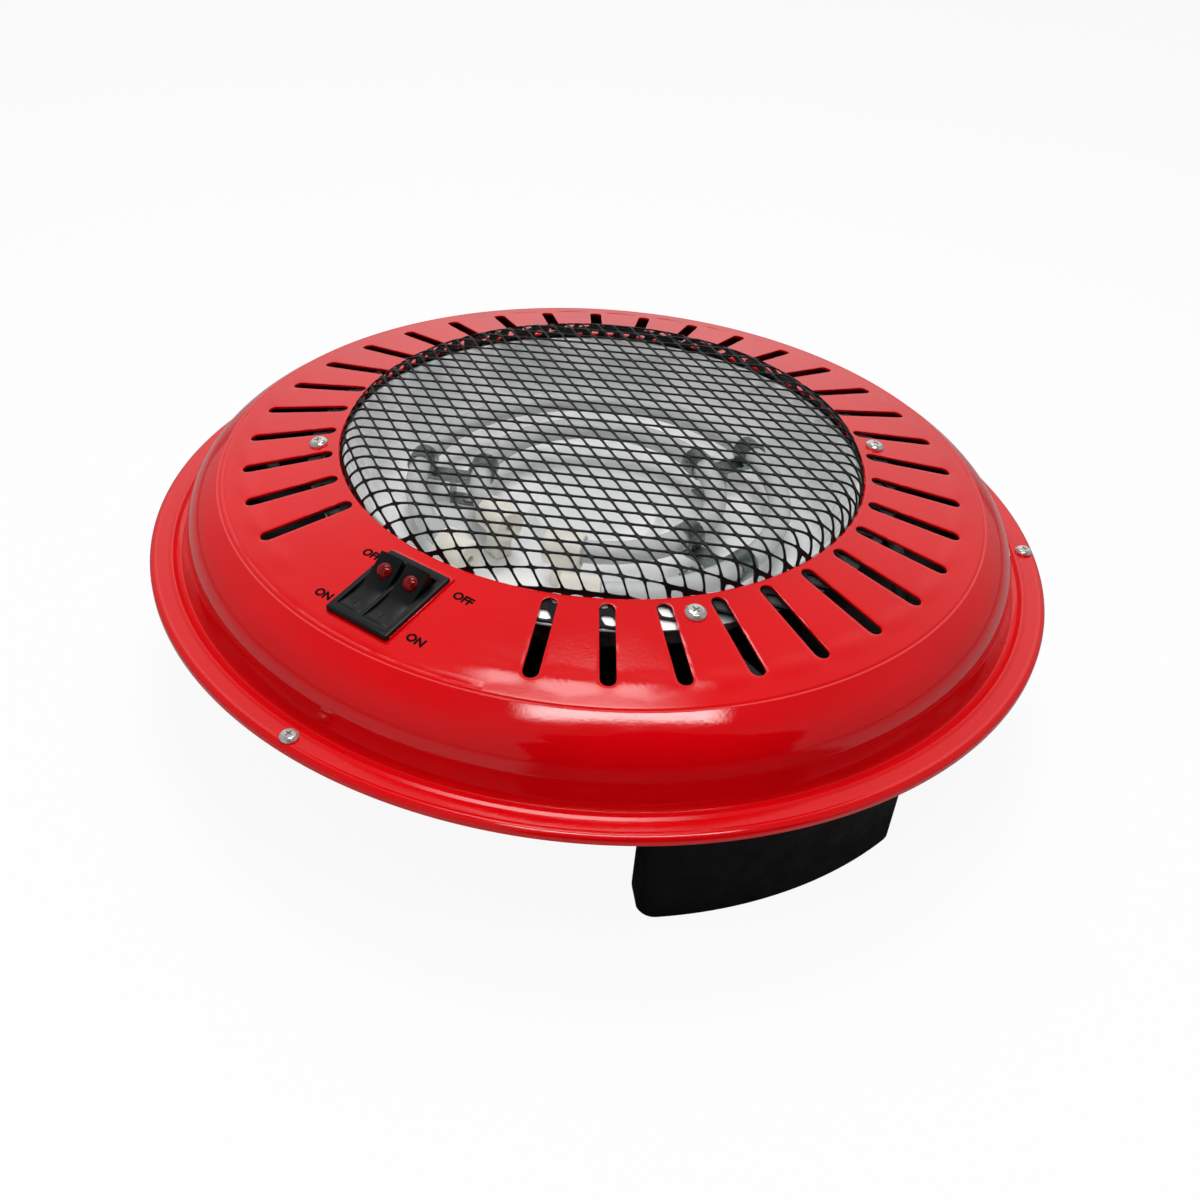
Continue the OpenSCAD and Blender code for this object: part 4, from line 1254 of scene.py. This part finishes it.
class BRAZIER_OT_stage(bpy.types.Operator):
    """Makes the floor, the world, the lamps and the camera"""
    bl_idname = "brazier.stage"
    bl_label = "Stage"

    def execute(self, context):
        scene = context.scene
        bm = bmesh.new()
        bmesh.ops.create_circle(bm, cap_ends=True, segments=64, radius=FLOOR_R)
        floor = new_object("floor", bm)
        floor.location.z = -0.4 * MM
        floor.data.materials.append(self.floor_finish())
        self.world(scene)
        self.lamps()
        self.camera(scene)
        scene.view_settings.view_transform = "Standard"
        return {"FINISHED"}

    def floor_finish(self):
        """Matt floor, which the camera sees as white with a faint shadow, dim in the cover's mirror."""
        material = bpy.data.materials.new("floor_white")
        material.use_nodes = True
        net = Net(material.node_tree)
        path = net.add("LightPath").outputs
        seen = path["Is Camera Ray"]
        plain = net.math("MULTIPLY", net.math("MAXIMUM", seen, path["Is Diffuse Ray"]), 0.85)
        where = net.add("TexCoord").outputs["Object"]
        shape = net.parts(where, SHAPE_TURN)
        side = net.math("ABSOLUTE", net.math("DIVIDE", shape["Y"], net.math("MAXIMUM", shape["X"], 0.01)))
        side = net.math("MAXIMUM", side, net.spread(shape["X"], 0.26, 0.32, 1.0, 0.0))
        level = net.math("MAXIMUM", plain, net.spread(side, 0.5, 0.62, 0.05, 0.4))
        matt = net.nodes["Principled BSDF"]
        paint = net.add("CombineColor", level, level, level).outputs["Color"]
        for name, value in (("Roughness", 0.9), ("Specular IOR Level", 0.0), ("Base Color", paint)):
            net.put(value, matt.inputs[name])
        # Right under the heater the floor lies in deep shadow
        across = net.vector_math("LENGTH", where)
        white = net.add("Emission", Strength=1.0).outputs["Emission"]
        share = net.math("MULTIPLY", seen, net.spread(across, 0.12, 0.14, 0.0, 0.93))
        above = net.mixed(share, matt.outputs["BSDF"], white)
        # From below the floor is clear
        behind = net.add("NewGeometry").outputs["Backfacing"]
        mix = net.mixed(behind, above, net.add("BsdfTransparent").outputs["BSDF"])
        net.put(mix, net.nodes["Material Output"].inputs["Surface"])
        return material

    def world(self, scene):
        """A room with a white wall behind the heater, dim at the sides and dark behind the camera."""
        world = bpy.data.worlds.new("studio")
        scene.world = world
        world.use_nodes = True
        net = Net(world.node_tree)
        where = net.add("TexCoord").outputs["Generated"]
        wall = net.vector_math("DOT_PRODUCT", where, (-0.459, 0.734, 0.5))
        fade = net.add("ValToRGB", net.math("MULTIPLY", net.math("ADD", wall, 1), 0.5))
        steps = fade.color_ramp
        steps.interpolation = "EASE"
        for place, level in ((0.5, 0.27), (0.75, 0.3), (0.883, 0.4), (0.941, 0.58), (0.964, 0.72),
                             (0.983, 0.95)):
            step = steps.elements[0] if place == 0.5 else steps.elements.new(place)
            step.position = place
            step.color = (level, level, level, 1)
        # The dark shape is an oval with a rippled outline
        shape = net.parts(where, SHAPE_TURN)
        ripple = net.add("TexNoise", where, Scale=3.0, Detail=1.0).outputs["Fac"]
        side = net.math("POWER", net.math("DIVIDE", shape["Y"], 0.56), 2)
        tall = net.math("POWER", net.math("DIVIDE", net.math("SUBTRACT", shape["Z"], 0.1), 0.78), 2)
        reach = net.math("ADD", net.math("ADD", side, tall), net.spread(ripple, 0, 1, -0.3, 0.3))
        reach = net.math("ADD", reach, net.spread(shape["X"], 0, 0.05, 2, 0))
        level = net.math("MULTIPLY", fade.outputs["Color"], net.spread(reach, 0.96, 1.04))
        level = net.math("MULTIPLY", level, net.spread(net.parts(where)["Z"], 0.5, 0.9, 1.0, 0.45))
        path = net.add("LightPath").outputs
        mirrored = net.math("MAXIMUM", path["Is Glossy Ray"], path["Is Transmission Ray"])
        level = net.math("MULTIPLY", level, net.spread(mirrored, 0, 1, 1.1, 1.0))
        room = net.nodes["Background"]
        room.inputs["Color"].default_value = (1, 1, 1, 1)
        net.put(level, room.inputs["Strength"])
        white = net.add("Background", (1, 1, 1, 1), 1.0).outputs["Background"]
        mix = net.mixed(path["Is Camera Ray"], room.outputs["Background"], white)
        net.put(mix, net.nodes["World Output"].inputs["Surface"])

    def lamps(self):
        area_lamp("window", (0.41, -0.33, 1.25), (0.2, -0.07, 0.05), (0.92, 0.17), 6.8, (0.16, 0.3))
        area_lamp("ceiling", (-0.24, 0.3, 1.45), (0, 0, 0.05), (0.8, 0.6), 9, (0.35, 0.35))
        for name, place, power in (("fill", (0.1, -0.7, 0.9), 4), ("sky", (-0.1, 0.1, 1.4), 14)):
            soft = area_lamp(name, place, (0, 0, 0.05), (0.6, 0.6), power)
            soft.visible_glossy = False

    def camera(self, scene):
        """The camera solved from the rings of the cover."""
        data = bpy.data.cameras.new("camera")
        camera = bpy.data.objects.new("camera", data)
        scene.collection.objects.link(camera)
        data.sensor_width = 36
        data.lens = 36.116
        data.shift_x = 0.05377
        data.shift_y = -0.03330
        right = Vector((0.80265458, 0.59503999, 0.04090277))
        up = Vector((-0.36935492, 0.44203677, 0.81742305))
        camera.matrix_world = (Matrix.Translation((0.24861, -0.40333, 0.36975))
                               @ Matrix((right, up, right.cross(up))).transposed().to_4x4())
        data.clip_start = 0.01
        scene.camera = camera


SIZE_GROUPS = {"brazier_cover": BrazierCoverSizes, "brazier_guard": BrazierGuardSizes,
               "brazier_bowl": BrazierBowlSizes, "brazier_switch": BrazierSwitchSizes,
               "brazier_colours": BrazierColours}
OPERATORS = (BRAZIER_OT_stage, BRAZIER_OT_finishes, BRAZIER_OT_cover, BRAZIER_OT_guard, BRAZIER_OT_bowl,
             BRAZIER_OT_tubes, BRAZIER_OT_caps, BRAZIER_OT_screws, BRAZIER_OT_feet, BRAZIER_OT_switch,
             BRAZIER_OT_words)


class BRAZIER_PT_panel(bpy.types.Panel):
    """Lists the brazier's pieces in the sidebar"""
    bl_idname = "BRAZIER_PT_panel"
    bl_label = "Table Brazier"
    bl_space_type = "VIEW_3D"
    bl_region_type = "UI"
    bl_category = "Brazier"

    def draw(self, context):
        for group in SIZE_GROUPS:
            box = self.layout.box()
            for name in getattr(context.scene, group).bl_rna.properties.keys():
                if name not in ("rna_type", "name"):
                    box.prop(getattr(context.scene, group), name)
        for operator in OPERATORS:
            self.layout.operator(operator.bl_idname)


def register():
    for group, sizes in SIZE_GROUPS.items():
        bpy.utils.register_class(sizes)
        setattr(bpy.types.Scene, group, PointerProperty(type=sizes))
    for operator in OPERATORS:
        bpy.utils.register_class(operator)
    bpy.utils.register_class(BRAZIER_PT_panel)


def unregister():
    bpy.utils.unregister_class(BRAZIER_PT_panel)
    for operator in reversed(OPERATORS):
        bpy.utils.unregister_class(operator)
    for group, sizes in SIZE_GROUPS.items():
        delattr(bpy.types.Scene, group)
        bpy.utils.unregister_class(sizes)


def main():
    register()
    for operator in OPERATORS:
        group, name = operator.bl_idname.split(".")
        getattr(getattr(bpy.ops, group), name)()


if __name__ == "__main__":
    main()
